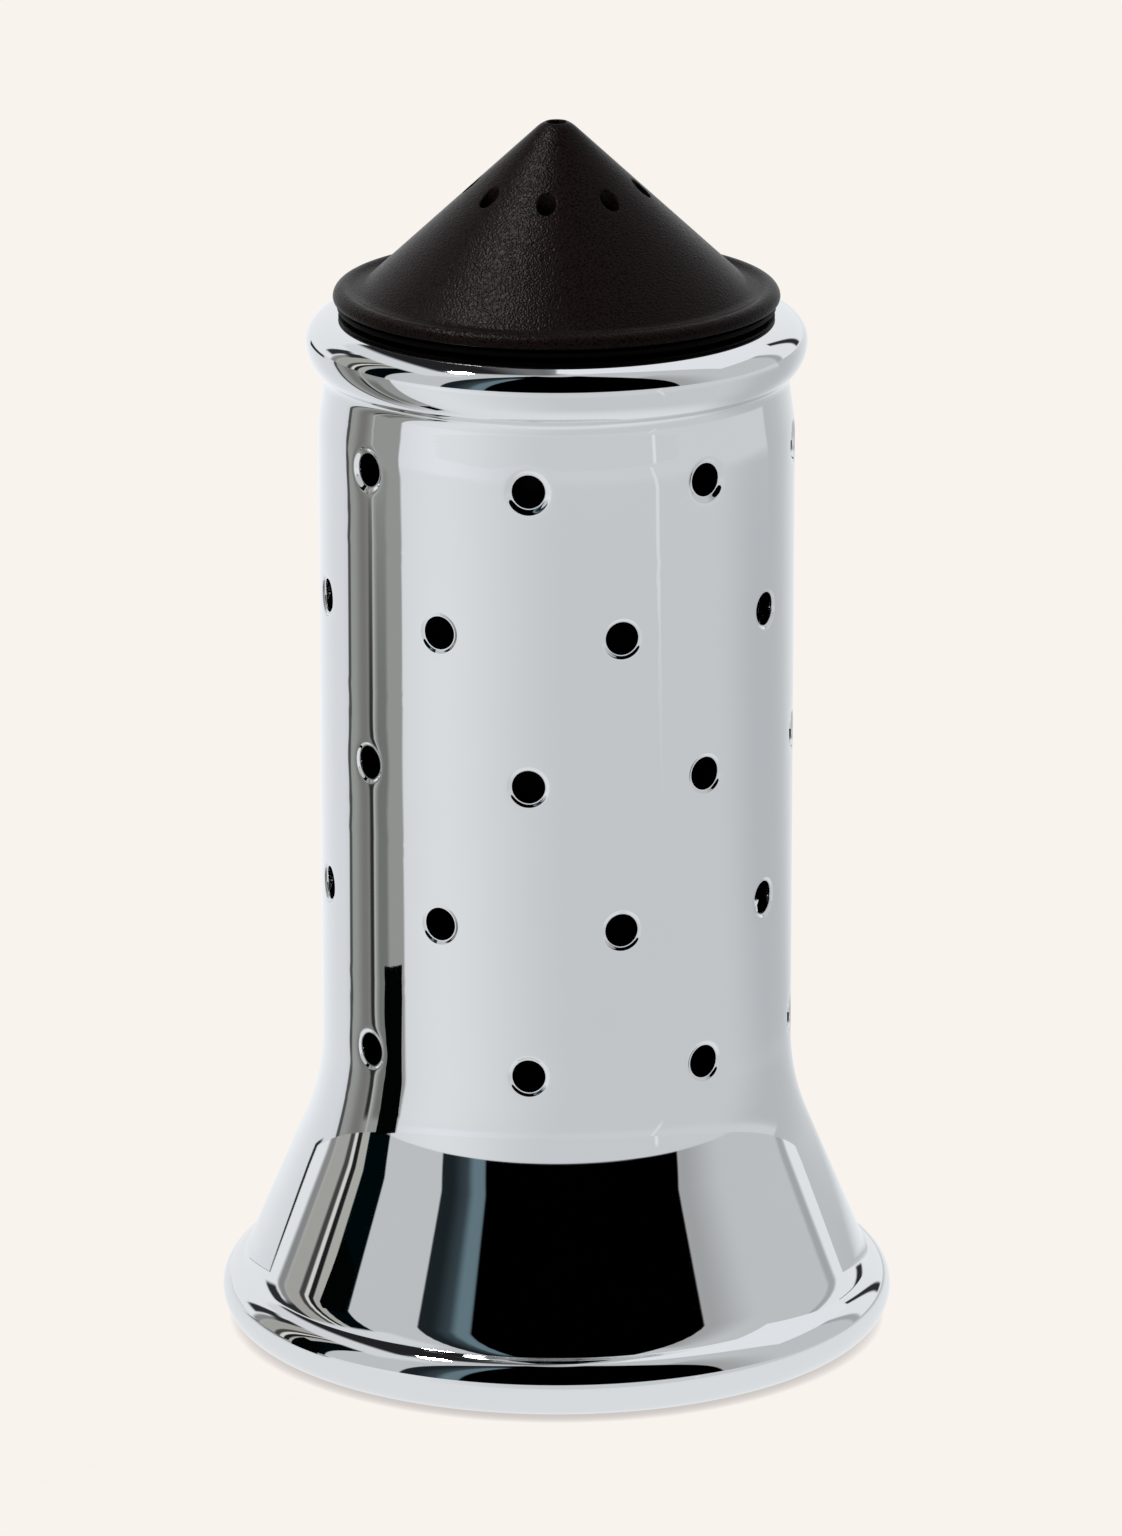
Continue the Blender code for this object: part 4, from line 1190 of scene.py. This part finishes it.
class SHAKER_OT_stage(bpy.types.Operator):
    """Sets the pale floor, the soft studio light and the camera"""

    bl_idname = "shaker.stage"
    bl_label = "Stage"

    def execute(self, context):
        s = context.scene.shaker_stage
        self.floor(s)
        self.flag(s)
        self.world(context, s)
        self.lamp(context, s)
        self.camera(context, s)
        context.scene.view_settings.view_transform = "Standard"
        return {"FINISHED"}

    def floor(self, s):
        """A wide floor, pale to the camera, with a soft painted contact shadow; to other rays it glows with
        painted light and shade.
        """
        deselect()
        bpy.ops.mesh.primitive_plane_add(size=FLOOR_SIDE, location=(0, 0, -FLOOR_DROP))
        floor = bpy.context.object
        floor.name = "studio_floor"
        material = bpy.data.materials.new("studio_floor")
        material.use_nodes = True
        tree = material.node_tree
        tree.nodes.clear()
        x, y, _ = split_place(tree, "Object")
        square = calculate(tree, "ADD", calculate(tree, "MULTIPLY", x, x), calculate(tree, "MULTIPLY", y, y))
        distance = calculate(tree, "SQRT", square)
        lead = calculate(tree, "DIVIDE", CARD_LEAD, calculate(tree, "MAXIMUM", distance, LEAD_FROM))
        turn = calculate(tree, "SUBTRACT", azimuth(tree, x, y), lead)
        # The floor's glow to other rays, with painted light and shade laid on it as cards.
        cards = lay_cards(tree, FLOOR_IN_STEEL, turn, distance, FLOOR_CARDS)
        in_steel = glow(tree, "ShaderNodeEmission", cards)
        # Painted contact shadow: ambient occlusion darkens the floor's emitted colour near the foot.
        shade = tree.nodes.new("ShaderNodeAmbientOcclusion")
        shade.samples = 8
        shade.inputs["Distance"].default_value = SHADOW_REACH
        painted_shadow = [part * SHADOW_TONE for part in s.floor]
        shaded = mix_colours(tree, shade.outputs["AO"], painted_shadow, s.floor)
        seen = glow(tree, "ShaderNodeEmission", shaded)
        path = tree.nodes.new("ShaderNodeLightPath")
        surface = mix_shaders(tree, path.outputs["Is Camera Ray"], in_steel, seen)
        output = tree.nodes.new("ShaderNodeOutputMaterial")
        tree.links.new(surface, output.inputs["Surface"])
        floor.data.materials.append(material)

    def flag(self, s):
        """A low black flag at the left, seen only in the steel."""
        deselect()
        bpy.ops.mesh.primitive_plane_add(size=1, location=s.flag_place, rotation=(0, math.radians(90), 0))
        flag = bpy.context.object
        flag.name = "studio_flag"
        flag.scale = (s.flag_height, s.flag_width, 1)
        flag.visible_camera = False
        flag.visible_diffuse = False
        flag.visible_shadow = False
        material = bpy.data.materials.new("studio_flag")
        material.use_nodes = True
        shader = material.node_tree.nodes["Principled BSDF"]
        shader.inputs["Base Color"].default_value = (*FLAG_BLACK, 1.0)
        shader.inputs["Roughness"].default_value = 1.0
        shader.inputs["Specular IOR Level"].default_value = 0.0
        flag.data.materials.append(material)

    def world(self, context, s):
        """Studio walls and cards for reflections, the floor's colour behind the shaker, and even light."""
        world = bpy.data.worlds.new("studio")
        context.scene.world = world
        world.use_nodes = True
        tree = world.node_tree
        tree.nodes.clear()
        x, y, z = split_place(tree, "Generated")
        turn = azimuth(tree, x, y)
        rise = calculate(tree, "DEGREES", calculate(tree, "ARCSINE", z))
        walls = lay_cards(tree, STUDIO_WALL, turn, rise, STUDIO_CARDS)
        share = calculate(tree, "DIVIDE", turn, SWEEP_SIDE)
        share = calculate(tree, "MULTIPLY", calculate(tree, "MULTIPLY", share, share), SWEEP_FALL)
        swept = lay_cards(tree, walls, turn, calculate(tree, "ADD", rise, share), SWEEP_CARDS)
        up = calculate(tree, "MAXIMUM", z, CEILING_FROM)
        across = calculate(tree, "DIVIDE", x, up)
        behind = calculate(tree, "DIVIDE", y, up)
        studio = glow(tree, "ShaderNodeBackground", lay_cards(tree, swept, across, behind, CEILING_CARDS))
        even = glow(tree, "ShaderNodeBackground", EVEN_LIGHT)
        back = glow(tree, "ShaderNodeBackground", s.floor)
        path = tree.nodes.new("ShaderNodeLightPath")
        other = mix_shaders(tree, path.outputs["Is Glossy Ray"], even, studio)
        surface = mix_shaders(tree, path.outputs["Is Camera Ray"], other, back)
        output = tree.nodes.new("ShaderNodeOutputWorld")
        tree.links.new(surface, output.inputs["Surface"])

    def lamp(self, context, s):
        """A square soft light that faces the cap."""
        data = bpy.data.lights.new("left_lamp", "AREA")
        data.shape = "SQUARE"
        data.size = s.lamp_size
        data.energy = s.lamp_power
        data.color = s.lamp_colour
        lamp = bpy.data.objects.new("left_lamp", data)
        context.scene.collection.objects.link(lamp)
        aim = aimed(s.lamp_turn, s.lamp_rise)
        lamp.location = Vector((0, 0, s.lamp_target)) + aim * s.lamp_distance
        lamp.rotation_euler = aim.to_track_quat("Z", "Y").to_euler()
        lamp.visible_camera = False

    def camera(self, context, s):
        """The camera at the photograph's viewing angle."""
        data = bpy.data.cameras.new("photo_camera")
        data.sensor_fit = "VERTICAL"
        data.sensor_height = SENSOR_HEIGHT
        data.lens = s.lens
        data.clip_start = CLIP_START
        camera = bpy.data.objects.new("photo_camera", data)
        context.scene.collection.objects.link(camera)
        camera.location = s.camera_place
        camera.rotation_euler = (math.pi / 2 - s.camera_pitch, 0, 0)
        context.scene.camera = camera


def aimed(turn, rise):
    """A direction from an azimuth and an elevation."""
    flat = math.cos(rise)
    return Vector((flat * math.sin(turn), -flat * math.cos(turn), math.sin(rise)))


STEPS = (
    SHAKER_OT_casing,
    SHAKER_OT_liner,
    SHAKER_OT_seal,
    SHAKER_OT_cap,
    SHAKER_OT_plate,
    SHAKER_OT_fasteners,
    SHAKER_OT_stage,
)
SETTINGS = (
    ("shaker_casing", CasingSizes),
    ("shaker_cap", CapSizes),
    ("shaker_liner", LinerSizes),
    ("shaker_base", BaseSizes),
    ("shaker_colours", ShakerColours),
    ("shaker_stage", StageSettings),
)


class SHAKER_PT_panel(bpy.types.Panel):
    bl_label = "Salt Shaker"
    bl_idname = "SHAKER_PT_panel"
    bl_space_type = "VIEW_3D"
    bl_region_type = "UI"
    bl_category = "Shaker"

    def draw(self, context):
        for step in STEPS:
            self.layout.operator(step.bl_idname)
        for name, kind in SETTINGS:
            box = self.layout.box()
            for label in kind.__annotations__:
                shown = label.replace("_", " ").capitalize()
                box.prop(getattr(context.scene, name), label, text=shown)


def register():
    for name, kind in SETTINGS:
        bpy.utils.register_class(kind)
        setattr(bpy.types.Scene, name, PointerProperty(type=kind))
    for kind in STEPS + (SHAKER_PT_panel,):
        bpy.utils.register_class(kind)


def unregister():
    for kind in (SHAKER_PT_panel,) + STEPS[::-1]:
        bpy.utils.unregister_class(kind)
    for name, kind in SETTINGS[::-1]:
        delattr(bpy.types.Scene, name)
        bpy.utils.unregister_class(kind)


def main():
    register()
    for step in STEPS:
        group, name = step.bl_idname.split(".")
        getattr(getattr(bpy.ops, group), name)()


if __name__ == "__main__":
    main()
